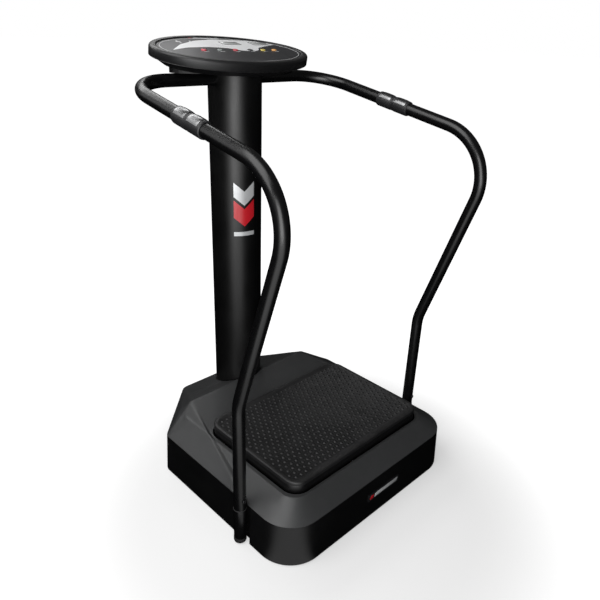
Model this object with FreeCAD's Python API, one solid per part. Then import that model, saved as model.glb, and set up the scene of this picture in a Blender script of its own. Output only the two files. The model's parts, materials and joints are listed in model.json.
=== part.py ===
import FreeCAD, Part
import os
from math import atan2, cos, degrees, pi, radians, sin, sqrt, tan

V = FreeCAD.Vector
X_AXIS, Y_AXIS, Z_AXIS = V(1, 0, 0), V(0, 1, 0), V(0, 0, 1)

# ---- Driving dimensions (mm). Front is -Y, the column stands at +Y, +Z is up ----
HALF_WIDTH = 340.0          # base, at the lower edge of the skirt
BASE_FRONT = -385.0
BASE_REAR = 325.0
CHAMFER_START = 145.0       # where the sides turn in towards the column
SKIRT_BOTTOM = 4.0
SKIRT_TOP = 121.0
SKIRT_DRAFT = 6.0
FRONT_RADIUS = 98.0
SIDE_RADIUS = 30.0
WALL = 3.0                  # moulded covers
COVER_THICKNESS = 4.5       # upper cover, measured upright

RIM_HEIGHT = 158.0          # level shoulder around the platform
RIM_SLOPE = 69.0            # how far the side bevels run inwards
RIM_FRONT = -327.0
RIM_RADIUS = 46.0
RIDGE_HEIGHT = 180.0        # rear hump
RIDGE_INSET = 110.0         # hump peaks, inwards from the sides
RIDGE_Y = 167.0
HUMP_START_Y = -205.0
LIP = 2.0                   # raised lip around the platform opening

PLATFORM_HALF = 256.0
PLATFORM_FRONT = -315.0
PLATFORM_REAR = 41.0
PLATFORM_RADIUS = 40.0
PLATFORM_GAP = 5.0
MAT_TOP = 189.0
MAT_THICKNESS = 10.0
DECK_THICKNESS = 24.0
PLATE_THICKNESS = 4.0

TRAY_MARGIN = 5.0           # tray edge to the wall of the post recess
TRAY_BOTTOM = 12.0
TRAY_SHEET = 4.0
TRAY_WALL = 3.0
TRAY_FLANGE = 30.0
BASE_PLATE = 8.0            # feet of the heavy fittings on the tray

PIVOT_HEIGHT = 112.0
AXLE_RADIUS = 10.0
BUSHING_WALL = 3.0

DRIVE_X = -110.0
DRIVE_HEIGHT = 64.0
ECCENTRICITY = 3.0
ECCENTRIC_RADIUS = 18.0
ROD_PIN_HEIGHT = 122.0
ROD_PIN_RADIUS = 6.5
BIG_PULLEY_RADIUS = 42.0
SMALL_PULLEY_RADIUS = 18.0
PULLEY_WIDTH = 18.0
PULLEY_Y = 72.0
MOTOR_X = -200.0
MOTOR_RADIUS = 43.0
MOTOR_LENGTH = 100.0

COLUMN_RADIUS = 72.75
COLUMN_TRAY_GAP = 1.25      # column to the tray's rear flange
COLUMN_WALL = 2.5
COLUMN_TOP = 1100.0

TUBE_RADIUS = 16.0          # handrails
TUBE_WALL = 2.0
RAIL_BAR_DROP = 7.0         # top of the rail bar below the column's end
RAIL_REAR_INSET = 14.0      # rail at the column bar, inwards from the base's side
RAIL_SPREAD = 6.0           # posts stand this far outside the base
RAIL_FRONT_Y = -386.0
RAIL_FALL = 119.0           # how far the upper run falls towards the front
RAIL_FOOT_Y = -211.0
RAIL_KNEE_HEIGHT = 418.0
RAIL_LOWER_END = 111.0
POST_BOTTOM = 16.0
RAIL_BENDS = (120.0, 138.0, 140.0)
CHANNEL_HALF = 28.0         # recess in the skirt behind each handrail post
SENSOR_Y = -54.0
SENSOR_LENGTH = 104.0

CONSOLE_SHIFT = 5.1         # middle of the console behind the column's axis
CONSOLE_RISE = 50.0         # console rim above the column's end
CONSOLE_TILT = 10.3
CONSOLE_A = 235.0
CONSOLE_B = 150.0
RIM_BAND = 24.0
BEZEL_WIDTH = 18.0
PANEL_RECESS = 3.0
BUTTON_RADIUS = 7.0
BUTTON_TRAVEL = 1.2
BUTTON_ROW_Y = -10.0
BUTTON_XS = (-100.0, -50.0, 0.0, 50.0, 95.0, 135.0)

RUNNING_FIT = 0.05          # radial play of a shaft in its bore
LOOSE_FIT = 0.3             # radial play where parts only pass through
SEAT = 0.02                 # between parts that rest against each other

# ---- Derived dimensions ----
CHAMFER_SUM = HALF_WIDTH + CHAMFER_START
TRAY_FLOOR = TRAY_BOTTOM + TRAY_SHEET
RIM_HALF = HALF_WIDTH - RIM_SLOPE
RIDGE_HALF = HALF_WIDTH - RIDGE_INSET
RAIL_FOOT_HALF = HALF_WIDTH + RAIL_SPREAD
RAIL_FRONT_HALF = RAIL_FOOT_HALF - 1.0
RAIL_REAR_HALF = HALF_WIDTH - RAIL_REAR_INSET
RAIL_BAR_HEIGHT = COLUMN_TOP - RAIL_BAR_DROP - TUBE_RADIUS
RAIL_FRONT_HEIGHT = RAIL_BAR_HEIGHT - RAIL_FALL
CHANNEL_DEPTH = TUBE_RADIUS - RAIL_SPREAD + 2.0
TRAY_INSET = CHANNEL_DEPTH + WALL + TRAY_MARGIN
COLUMN_Y = BASE_REAR - TRAY_INSET - TRAY_WALL - COLUMN_TRAY_GAP - COLUMN_RADIUS
CONSOLE_Y = COLUMN_Y + CONSOLE_SHIFT
CONSOLE_HEIGHT = COLUMN_TOP + CONSOLE_RISE
ROD_PIN_PLAY = 2 * ECCENTRICITY + 1.0    # radial play of the rod eye around its pin
DECK_TOP = MAT_TOP - MAT_THICKNESS
PLATE_TOP = DECK_TOP - DECK_THICKNESS
PLATE_BOTTOM = PLATE_TOP - PLATE_THICKNESS


# ---- Small building helpers ----
def box(x0, x1, y0, y1, z0, z1):
    return Part.makeBox(x1 - x0, y1 - y0, z1 - z0, V(x0, y0, z0))


def rod(radius, start, end):
    axis = end - start
    return Part.makeCylinder(radius, axis.Length, start, axis)


def ring(outer, inner, start, end):
    return rod(outer, start, end).cut(rod(inner, start, end))


def fused(shapes):
    body = shapes[0]
    for shape in shapes[1:]:
        body = body.fuse(shape)
    return body.removeSplitter()


def group(shapes):
    return Part.makeCompound(shapes)


def mirrored(shape):
    return shape.mirror(V(0, 0, 0), X_AXIS)


def rounded_wire(points, radii, closed=True):
    """Straight runs through the points, joined by tangent arcs of the given radii."""
    count = len(points)
    entries, exits, middles = [], [], []
    for i, point in enumerate(points):
        is_end = not closed and i in (0, count - 1)
        if is_end or radii[i] <= 0:
            entries.append(point)
            exits.append(point)
            middles.append(None)
            continue
        before = (points[i - 1] - point).normalize()
        after = (points[(i + 1) % count] - point).normalize()
        half_angle = before.getAngle(after) / 2
        setback = radii[i] / tan(half_angle)
        bisector = (before + after).normalize()
        reach = radii[i] / sin(half_angle) - radii[i]
        entries.append(point + before * setback)
        exits.append(point + after * setback)
        middles.append(point + bisector * reach)
    edges = []
    last = count if closed else count - 1
    for i in range(count):
        if middles[i] is not None:
            edges.append(Part.Arc(entries[i], middles[i], exits[i]).toShape())
        if i < last:
            edges.append(Part.makeLine(exits[i], entries[(i + 1) % count]))
    return Part.Wire(edges)


def rounded_rectangle(half_x, y0, y1, radius, z):
    corners = [V(-half_x, y0, z), V(half_x, y0, z), V(half_x, y1, z), V(-half_x, y1, z)]
    return rounded_wire(corners, [radius] * 4)


def slab(wire, thickness):
    return Part.Face(wire).extrude(V(0, 0, thickness))


def six_sided(half, front, side_sum, rear, radii, z):
    """Plan outline with two chamfered rear corners; radii are front, side and rear."""
    side_y = side_sum - half
    rear_x = side_sum - rear
    points = [V(-half, front, z), V(half, front, z), V(half, side_y, z)]
    points += [V(rear_x, rear, z), V(-rear_x, rear, z), V(-half, side_y, z)]
    front_r, side_r, rear_r = radii
    return rounded_wire(points, [front_r, front_r, side_r, rear_r, rear_r, side_r])


def base_outline(inset, z):
    """The base's plan outline, moved inwards by the inset."""
    corner = max(SIDE_RADIUS - inset, 6.0)
    side_sum = CHAMFER_SUM - inset * sqrt(2)
    radii = (FRONT_RADIUS - inset, corner, corner)
    return six_sided(HALF_WIDTH - inset, BASE_FRONT + inset, side_sum, BASE_REAR - inset, radii, z)


def lofted(lower, upper):
    return Part.makeLoft([lower, upper], True, True)


def tube_along(points, radii, outer, inner=0.0):
    path = rounded_wire(points, radii, closed=False)
    start = points[0]
    heading = points[1] - points[0]

    def swept(radius):
        profile = Part.Wire(Part.makeCircle(radius, start, heading))
        return path.makePipeShell([profile], True, True)

    body = swept(outer)
    return body.cut(swept(inner)) if inner else body


def bolt(head_radius, head_height, shank_radius, length, seat, direction):
    """Hex-headed bolt whose head rests on the seat point; the shank runs along direction."""
    points = [V(head_radius * cos(k * pi / 3), head_radius * sin(k * pi / 3), -head_height)
              for k in range(6)]
    head = Part.Face(Part.makePolygon(points + [points[0]])).extrude(V(0, 0, head_height))
    shank = Part.makeCylinder(shank_radius, length)
    body = head.fuse(shank).removeSplitter()
    body.Placement = FreeCAD.Placement(seat, FreeCAD.Rotation(Z_AXIS, direction))
    return body


def pan_screw(head_radius, head_height, shank_radius, length, seat, direction):
    head = Part.makeCylinder(head_radius, head_height, V(0, 0, -head_height))
    head = head.makeFillet(head_height * 0.4, [head.Edges[2]])
    recess = Part.makeCylinder(head_radius * 0.35, head_height * 0.5, V(0, 0, -head_height))
    body = head.cut(recess).fuse(Part.makeCylinder(shank_radius, length)).removeSplitter()
    body.Placement = FreeCAD.Placement(seat, FreeCAD.Rotation(Z_AXIS, direction))
    return body


def on_wall(shape, x, z, rear):
    """Place a part drawn flat (x, height, outwards) on the drafted front or rear wall."""
    lean = degrees(atan2(SKIRT_DRAFT, SKIRT_TOP - SKIRT_BOTTOM))
    inset = SKIRT_DRAFT * (z - SKIRT_BOTTOM) / (SKIRT_TOP - SKIRT_BOTTOM)
    placed = shape.copy()
    placed.rotate(V(0, 0, 0), X_AXIS, 90 - lean)
    if rear:
        placed.rotate(V(0, 0, 0), Z_AXIS, 180)
        placed.translate(V(x, BASE_REAR - inset, z))
    else:
        placed.translate(V(x, BASE_FRONT + inset, z))
    return placed


PARTS = {}


def add(name, shape):
    PARTS[name] = shape


# Hex bolts that hold the heavy fittings down on the tray floor
FLOOR_BOLTS = []


def floor_bolt(x, y):
    return bolt(9.0, 6.0, 5.0, BASE_PLATE - 0.1, V(x, y, TRAY_FLOOR + BASE_PLATE + SEAT), V(0, 0, -1))


# Pan screws shared by the skirt, the handrail feet and the console bracket
M6_SCREWS = []


def m6_screw(seat, direction):
    return pan_screw(5.5, 3.0, 3.0, 16.0, seat, direction)


# ---- Base: tray, skirt, top cover, feet ----
SIDE_BOSS_YS = (-265.0, -70.0, 100.0)
FRONT_BOSS_XS = (-190.0, 190.0)
REAR_BOSS_XS = (-60.0, 60.0)
BOSS_HEIGHT = 30.0
FOOT_SPOTS = ((-265.0, -310.0), (265.0, -310.0), (-265.0, 95.0), (265.0, 95.0),
              (-130.0, 250.0), (130.0, 250.0))
FOOT_RADIUS = 24.0
FOOT_RECESS = 6.0
BOARD_HEIGHT = 28.0          # underside of the control board
INLET_X = -112.0
SWITCH_X = 112.0
REAR_FITTINGS_HEIGHT = 78.0
INLET_HALF = (25.0, 14.0)
SWITCH_HALF = (11.0, 15.0)
SWITCH_PIN_RADIUS = 2.0


def boss_places():
    """Screw places between the tray flange and the skirt: point on the flange, outward."""
    flange = TRAY_INSET
    places = []
    for y in SIDE_BOSS_YS:
        places.append((V(HALF_WIDTH - flange, y, BOSS_HEIGHT), V(1, 0, 0)))
        places.append((V(-HALF_WIDTH + flange, y, BOSS_HEIGHT), V(-1, 0, 0)))
    for x in FRONT_BOSS_XS:
        places.append((V(x, BASE_FRONT + flange, BOSS_HEIGHT), V(0, -1, 0)))
    for x in REAR_BOSS_XS:
        places.append((V(x, BASE_REAR - flange, BOSS_HEIGHT), V(0, 1, 0)))
    return places


def channel_box(grow):
    """Block that stands for the recess behind the right-hand handrail post."""
    face = HALF_WIDTH - CHANNEL_DEPTH
    half = CHANNEL_HALF + grow
    return box(face - grow, HALF_WIDTH + 20, RAIL_FOOT_Y - half, RAIL_FOOT_Y + half,
               SKIRT_BOTTOM - 5, SKIRT_TOP + 5)


def post_arm_heights():
    return (TRAY_FLOOR + 4.0, TRAY_FLOOR + 18.0)


def build_tray():
    outside = slab(base_outline(TRAY_INSET, TRAY_BOTTOM), TRAY_FLANGE)
    inside = slab(base_outline(TRAY_INSET + TRAY_WALL, TRAY_FLOOR), TRAY_FLANGE)
    tray = outside.cut(inside)
    for x, y in FOOT_SPOTS:
        tray = tray.cut(rod(4.2, V(x, y, TRAY_BOTTOM - 1), V(x, y, TRAY_FLOOR + 1)))
    for point, outward in boss_places():
        tray = tray.cut(rod(3.2, point - outward * 6, point + outward))
        M6_SCREWS.append(m6_screw(point - outward * (TRAY_WALL + SEAT), outward))
    for side in (-1, 1):
        for dy in (-16.0, 16.0):
            centre = V(side * (HALF_WIDTH - TRAY_INSET), RAIL_FOOT_Y + dy, BOSS_HEIGHT)
            tray = tray.cut(rod(3.2, centre - X_AXIS * 6, centre + X_AXIS * 6))
    for x in (136.0, 244.0):
        for y in (-114.0, -6.0):
            tray = tray.fuse(rod(4, V(x, y, TRAY_FLOOR - 1), V(x, y, BOARD_HEIGHT - SEAT)))
    add("base_tray", tray.removeSplitter())


def build_feet():
    feet, screws = [], []
    for x, y in FOOT_SPOTS:
        body = Part.makeCone(FOOT_RADIUS - 3, FOOT_RADIUS, TRAY_BOTTOM, V(x, y, 0))
        body = body.makeFillet(1.5, [body.Edges[0], body.Edges[2]])
        body = body.cut(rod(9.0, V(x, y, -1), V(x, y, FOOT_RECESS)))
        body = body.cut(rod(4.2, V(x, y, 0), V(x, y, TRAY_BOTTOM + 1)))
        feet.append(body)
        screws.append(pan_screw(7.0, 4.0, 4.0, 14.0, V(x, y, FOOT_RECESS - SEAT), Z_AXIS))
    add("rubber_feet", group(feet))
    add("foot_screws", group(screws))


def build_skirt():
    low, high = SKIRT_BOTTOM, SKIRT_TOP
    outside = lofted(base_outline(0, low), base_outline(SKIRT_DRAFT, high))
    inside = lofted(base_outline(WALL, low), base_outline(SKIRT_DRAFT + WALL, high))
    for shape in (channel_box(0), mirrored(channel_box(0))):
        outside = outside.cut(shape)
    for shape in (channel_box(WALL), mirrored(channel_box(WALL))):
        inside = inside.cut(shape)
    skirt = outside.cut(inside)
    for point, outward in boss_places():
        across = V(-outward.y, outward.x, 0)
        a = point + outward * SEAT - across * 9 - Z_AXIS * 8
        b = point + outward * 30 + across * 9 + Z_AXIS * 8
        boss = box(min(a.x, b.x), max(a.x, b.x), min(a.y, b.y), max(a.y, b.y), a.z, b.z)
        skirt = skirt.fuse(boss.common(outside))
        skirt = skirt.cut(rod(3.05, point, point + outward * 14))
    for side in (-1, 1):
        for z in post_arm_heights():
            x0 = side * (HALF_WIDTH - CHANNEL_DEPTH - WALL - 4)
            x1 = side * (HALF_WIDTH - CHANNEL_DEPTH + 4)
            slot = box(min(x0, x1), max(x0, x1), RAIL_FOOT_Y - 12.5, RAIL_FOOT_Y + 12.5,
                       z - 0.5, z + 8.5)
            skirt = skirt.cut(slot)
    cutters = (((INLET_HALF[0] - 1, INLET_HALF[1] - 1), INLET_X), (SWITCH_HALF, SWITCH_X))
    for (half_x, half_z), x in cutters:
        block = box(-half_x - 0.4, half_x + 0.4, -half_z - 0.4, half_z + 0.4, -12, 6)
        skirt = skirt.cut(on_wall(block, x, REAR_FITTINGS_HEIGHT, True))
    add("skirt_cover", skirt.removeSplitter())


def hump(shrink, drop):
    """Faceted rear hump that carries the ridge around the column."""
    edge = SKIRT_DRAFT + 1.2 + shrink
    low = SKIRT_TOP - 0.7 - drop
    half = HALF_WIDTH - edge
    side_sum = CHAMFER_SUM - (edge + 1.6) * sqrt(2)
    rear = BASE_REAR - edge
    start = V(half, HUMP_START_Y, low)
    side = V(half, side_sum - half, low)
    back = V(side_sum - rear, rear, low)
    peak = V(RIDGE_HALF - shrink, RIDGE_Y, RIDGE_HEIGHT - drop)
    saddle = V(RIDGE_HALF * 0.37, RIDGE_Y + 41 - shrink, RIDGE_HEIGHT - 17 - drop)
    knuckle = V(RIDGE_HALF + 32 - shrink, RIDGE_Y + 12, RIDGE_HEIGHT - 27 - drop)

    def flip(point):
        return V(-point.x, point.y, point.z)

    outlines = [[start, side, back, flip(back), flip(side), flip(start)],
                [start, peak, flip(peak), flip(start)],
                [peak, saddle, flip(saddle), flip(peak)],
                [saddle, back, flip(back), flip(saddle)]]
    for triangle in ((start, side, peak), (peak, saddle, back), (side, knuckle, peak),
                     (knuckle, back, peak), (side, back, knuckle)):
        outlines.append(list(triangle))
        outlines.append([flip(point) for point in triangle])
    faces = [Part.Face(Part.makePolygon(points + [points[0]])) for points in outlines]
    body = Part.makeSolid(Part.makeShell(faces))
    if body.Volume < 0:
        body.reverse()
    return body


def cover_body(shrink=0.0, drop=0.0):
    """Solid outer form of the upper cover; the inside is the same form, smaller and lower."""
    shoulder_sum = CHAMFER_SUM - (SKIRT_DRAFT + 45 + shrink) * sqrt(2)
    rear = BASE_REAR - SKIRT_DRAFT - 94 - shrink
    top = six_sided(RIM_HALF - shrink, RIM_FRONT + shrink, shoulder_sum, rear,
                    (RIM_RADIUS - shrink, 10.0, 10.0), RIM_HEIGHT - drop)
    frustum = lofted(base_outline(SKIRT_DRAFT + shrink, SKIRT_TOP - drop), top)
    body = frustum.fuse(hump(shrink, drop))
    reach = HALF_WIDTH + 60
    return body.cut(box(-reach, reach, BASE_FRONT - 60, BASE_REAR + 60, 0, SKIRT_TOP - drop))


def platform_outline(grow, z):
    return rounded_rectangle(PLATFORM_HALF + grow, PLATFORM_FRONT - grow, PLATFORM_REAR + grow,
                             PLATFORM_RADIUS + grow, z)


def build_top_cover():
    cover = cover_body().cut(cover_body(0.4, COVER_THICKNESS))
    locating = slab(base_outline(SKIRT_DRAFT + WALL + 0.4, SKIRT_TOP - 8), 9.6)
    locating = locating.cut(slab(base_outline(SKIRT_DRAFT + WALL + 2.4, SKIRT_TOP - 9), 12))
    for shape in (channel_box(WALL + 0.5), mirrored(channel_box(WALL + 0.5))):
        locating = locating.cut(shape)
    collar = slab(platform_outline(PLATFORM_GAP + 3, RIM_HEIGHT - 18), 18 + LIP)
    cover = fused([cover, locating, collar])
    opening = slab(platform_outline(PLATFORM_GAP, RIM_HEIGHT - 40), 80)
    cover = cover.cut(opening)
    column = rod(COLUMN_RADIUS + 1.0, V(0, COLUMN_Y, 60), V(0, COLUMN_Y, 260))
    cover = cover.cut(column)
    for side in (-1, 1):
        foot = V(side * RAIL_FOOT_HALF, RAIL_FOOT_Y, SKIRT_TOP - 20)
        cover = cover.cut(rod(TUBE_RADIUS + 2.0, foot, foot + Z_AXIS * 60))
    add("top_cover", cover)


# ---- Column and handrails ----
def build_column():
    flange_top = TRAY_FLOOR + BASE_PLATE
    flange = box(-100, 100, COLUMN_Y - 86, BASE_REAR - TRAY_INSET - 5, TRAY_FLOOR + SEAT, flange_top)
    outer = COLUMN_RADIUS - COLUMN_WALL - RUNNING_FIT
    spigot = ring(outer, outer - 4, V(0, COLUMN_Y, flange_top), V(0, COLUMN_Y, flange_top + 100))
    socket = fused([flange, spigot])
    side_bolts = []
    for x in (-86.0, 86.0):
        for y in (COLUMN_Y - 72, COLUMN_Y + 58):
            socket = socket.cut(rod(5.2, V(x, y, TRAY_FLOOR - 1), V(x, y, flange_top + 1)))
            FLOOR_BOLTS.append(floor_bolt(x, y))
    tube = ring(COLUMN_RADIUS, COLUMN_RADIUS - COLUMN_WALL, V(0, COLUMN_Y, flange_top + SEAT),
                V(0, COLUMN_Y, COLUMN_TOP))
    for angle in (150, 210, 330, 30):
        out = V(cos(radians(angle)), sin(radians(angle)), 0)
        seat = V(0, COLUMN_Y, 74) + out * (COLUMN_RADIUS + 0.6)
        hole = rod(4.2, seat - out * 14, seat + out * 3)
        tube = tube.cut(hole)
        socket = socket.cut(hole)
        side_bolts.append(bolt(7.0, 4.0, 4.0, 9.0, seat, out * -1))
    bar = V(0, COLUMN_Y, RAIL_BAR_HEIGHT)
    tube = tube.cut(rod(TUBE_RADIUS + LOOSE_FIT, bar - X_AXIS * 100, bar + X_AXIS * 100))
    cap = rod(COLUMN_RADIUS, V(0, COLUMN_Y, COLUMN_TOP + SEAT), V(0, COLUMN_Y, COLUMN_TOP + 4))
    inner = COLUMN_RADIUS - COLUMN_WALL - RUNNING_FIT
    cap = fused([cap, ring(inner, inner - 3, V(0, COLUMN_Y, COLUMN_TOP - 5),
                           V(0, COLUMN_Y, COLUMN_TOP + 1))])
    cap = cap.cut(rod(14, V(0, COLUMN_Y, COLUMN_TOP - 1), V(0, COLUMN_Y, COLUMN_TOP + 9)))
    add("column_socket", socket)
    add("column_side_bolts", group(side_bolts))
    add("column_tube", tube)
    add("column_cap", cap)


def stripe(z_low, z_high, half_angle, slope):
    """Thin label on the front of the column; slope drops its ends into a chevron."""
    shell = ring(COLUMN_RADIUS + 0.6, COLUMN_RADIUS + SEAT, V(0, COLUMN_Y, z_low - slope - 40),
                 V(0, COLUMN_Y, z_high + slope + 40))
    half = COLUMN_RADIUS * sin(radians(half_angle))
    points = [V(-half, 0, z_low), V(0, 0, z_low - slope), V(half, 0, z_low)]
    points += [V(half, 0, z_high), V(0, 0, z_high - slope), V(-half, 0, z_high)]
    front = COLUMN_Y - COLUMN_RADIUS - 10
    points = [V(point.x, front, point.z) for point in points]
    cutter = Part.Face(Part.makePolygon(points + [points[0]])).extrude(V(0, COLUMN_RADIUS, 0))
    label = shell.common(cutter)
    label.rotate(V(0, COLUMN_Y, 0), Z_AXIS, -LABEL_TURN)
    return label


def rail_points():
    return [V(2, COLUMN_Y, RAIL_BAR_HEIGHT), V(RAIL_REAR_HALF, COLUMN_Y, RAIL_BAR_HEIGHT),
            V(RAIL_FRONT_HALF, RAIL_FRONT_Y, RAIL_FRONT_HEIGHT),
            V(RAIL_FOOT_HALF, RAIL_FOOT_Y, RAIL_KNEE_HEIGHT),
            V(RAIL_FOOT_HALF, RAIL_FOOT_Y, RAIL_LOWER_END)]


def build_handrails():
    radii = (0.0,) + RAIL_BENDS + (0.0,)
    rail = tube_along(rail_points(), radii, TUBE_RADIUS, TUBE_RADIUS - TUBE_WALL)
    inner = TUBE_RADIUS - TUBE_WALL
    bar = V(0, COLUMN_Y, RAIL_BAR_HEIGHT)
    joiner = ring(inner - RUNNING_FIT, inner - 3, bar - X_AXIS * 120, bar + X_AXIS * 120)
    bolts = []
    for x in (-48.0, 48.0):
        top = V(x, COLUMN_Y, RAIL_BAR_HEIGHT + TUBE_RADIUS + 0.4)
        hole = rod(4.2, top + Z_AXIS * 5, top - Z_AXIS * 50)
        rail = rail.cut(hole)
        joiner = joiner.cut(hole)
        bolts.append(bolt(7.0, 4.5, 4.0, 40.0, top, V(0, 0, -1)))
    foot = V(RAIL_FOOT_HALF, RAIL_FOOT_Y, 0)
    seam = RAIL_LOWER_END - 3
    pin_hole = rod(3.2, foot + V(0, -30, 140), foot + V(0, 4, 140))
    rail = rail.cut(pin_hole)
    post = fused([rod(TUBE_RADIUS, foot + Z_AXIS * POST_BOTTOM, foot + Z_AXIS * seam),
                  rod(inner - RUNNING_FIT, foot + Z_AXIS * seam, foot + Z_AXIS * 168)])
    flange = HALF_WIDTH - TRAY_INSET
    plate = box(flange + SEAT, flange + 3.6, RAIL_FOOT_Y - 24, RAIL_FOOT_Y + 24, 18, 44)
    arms = [box(flange + 1, RAIL_FOOT_HALF, RAIL_FOOT_Y - 12, RAIL_FOOT_Y + 12, z, z + 8)
            for z in post_arm_heights()]
    post = fused([post, plate] + arms)
    post_bolts = []
    for dy in (-16.0, 16.0):
        centre = V(flange - TRAY_WALL - SEAT, RAIL_FOOT_Y + dy, BOSS_HEIGHT)
        post = post.cut(rod(3.2, centre, centre + X_AXIS * 20))
        post_bolts.append(bolt(5.5, 4.0, 3.0, 7.0, centre, X_AXIS))
    post = post.cut(pin_hole)
    screw = m6_screw(foot + V(0, -TUBE_RADIUS - 0.3, 140), Y_AXIS)
    M6_SCREWS.extend([screw, mirrored(screw)])
    gasket = ring(TUBE_RADIUS + 1, inner + 0.1, foot + Z_AXIS * (seam + SEAT),
                  foot + Z_AXIS * (RAIL_LOWER_END - SEAT))
    cap = rod(TUBE_RADIUS + 0.6, foot + Z_AXIS * 2, foot + Z_AXIS * (POST_BOTTOM - SEAT))
    cap = cap.makeFillet(5.0, [cap.Edges[2]])
    add("handrail_right", rail)
    add("handrail_left", mirrored(rail))
    add("handrail_joiner", joiner)
    add("handrail_joiner_bolts", group(bolts))
    add("rail_post_right", post)
    add("rail_post_left", mirrored(post))
    add("rail_post_bolts", group(post_bolts + [mirrored(item) for item in post_bolts]))
    add("rail_gaskets", group([gasket, mirrored(gasket)]))
    add("rail_post_caps", group([cap, mirrored(cap)]))


def sensor_placement():
    rear, front = rail_points()[1], rail_points()[2]
    share = (rear.y - SENSOR_Y) / (rear.y - front.y)
    centre = rear + (front - rear) * share
    return FreeCAD.Placement(centre, FreeCAD.Rotation(Z_AXIS, front - rear))


def build_sensors():
    half = SENSOR_LENGTH / 2
    outer = TUBE_RADIUS + 3.5
    barrel = rod(outer, V(0, 0, -half), V(0, 0, half))
    barrel = barrel.makeChamfer(2.5, [barrel.Edges[0], barrel.Edges[2]])
    barrel = barrel.cut(rod(TUBE_RADIUS + LOOSE_FIT, V(0, 0, -half), V(0, 0, half)))
    plates = []
    placement = sensor_placement()
    up = placement.Rotation.inverted().multVec(Z_AXIS)
    turn = degrees(atan2(up.y, up.x))
    for low, high in ((-half + 8, -6.0), (6.0, half - 8)):
        shell = ring(outer + 0.9, outer - 0.8, V(0, 0, low), V(0, 0, high))
        wedge = Part.makeCylinder(outer + 5, high - low, V(0, 0, low), Z_AXIS, 130)
        wedge.rotate(V(0, 0, 0), Z_AXIS, turn - 65)
        plate = shell.common(wedge)
        plates.append(plate)
        barrel = barrel.cut(plate)
    housing = barrel
    housing.Placement = placement
    add("pulse_housing_right", housing)
    add("pulse_housing_left", mirrored(housing))
    for plate in plates:
        plate.Placement = placement
    add("pulse_plates", group(plates + [mirrored(plate) for plate in plates]))


# ---- Platform and its pivot ----
HUB_SPANS = ((-285.0, -255.0), (-20.0, 10.0))
BRACKET_YS = (-305.0, 16.0)
BRACKET_THICKNESS = 8.0
LUG_SPANS = ((-44.0, -36.0), (-4.0, 4.0))


def build_platform():
    deck = slab(platform_outline(0, PLATE_TOP + SEAT), DECK_THICKNESS - SEAT)
    mat = slab(platform_outline(0, DECK_TOP + SEAT), MAT_THICKNESS - SEAT)
    mat = mat.makeFillet(4.0, [edge for edge in mat.Edges if edge.BoundBox.ZMin > MAT_TOP - 0.1])
    plate = slab(platform_outline(-22, PLATE_BOTTOM), PLATE_THICKNESS)
    outer = AXLE_RADIUS + RUNNING_FIT + BUSHING_WALL
    pieces = [plate]
    for y0, y1 in HUB_SPANS:
        pieces.append(rod(outer + 6, V(0, y0, PIVOT_HEIGHT), V(0, y1, PIVOT_HEIGHT)))
        pieces.append(box(-outer - 6, outer + 6, y0, y1, PIVOT_HEIGHT, PLATE_BOTTOM + 1))
    for y0, y1 in LUG_SPANS:
        pieces.append(box(DRIVE_X - 14, DRIVE_X + 14, y0, y1, ROD_PIN_HEIGHT - 13,
                          PLATE_BOTTOM + 1))
    for x in (-205.0, 205.0):
        pieces.append(box(x - 3, x + 3, PLATFORM_FRONT + 60, PLATFORM_REAR - 60,
                          PLATE_BOTTOM - 18, PLATE_BOTTOM + 1))
    frame = fused(pieces)
    for y0, y1 in HUB_SPANS:
        frame = frame.cut(rod(outer, V(0, y0 - 1, PIVOT_HEIGHT), V(0, y1 + 1, PIVOT_HEIGHT)))
    pin_start = V(DRIVE_X, LUG_SPANS[0][0] - 3, ROD_PIN_HEIGHT)
    pin_end = V(DRIVE_X, LUG_SPANS[1][1] + 3, ROD_PIN_HEIGHT)
    frame = frame.cut(rod(ROD_PIN_RADIUS + RUNNING_FIT, pin_start, pin_end))
    bushings = [ring(outer - 0.01, AXLE_RADIUS + RUNNING_FIT, V(0, y0, PIVOT_HEIGHT),
                     V(0, y1, PIVOT_HEIGHT)) for y0, y1 in HUB_SPANS]
    screws = []
    for x in (-170.0, 0.0, 170.0):
        for y in (PLATFORM_FRONT + 85, PLATFORM_REAR - 82):
            hole = rod(3.1, V(x, y, PLATE_BOTTOM - 2), V(x, y, PLATE_BOTTOM + 18))
            frame = frame.cut(hole)
            deck = deck.cut(hole)
            seat = V(x, y, PLATE_BOTTOM - SEAT)
            screws.append(pan_screw(6.0, 3.0, 3.0, 16.0, seat, Z_AXIS))
    add("platform_frame", frame)
    add("platform_deck", deck)
    add("platform_mat", mat)
    add("deck_screws", group(screws))
    add("pivot_bushings", group(bushings))
    add("rod_pin", rod(ROD_PIN_RADIUS, pin_start, pin_end))


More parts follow.
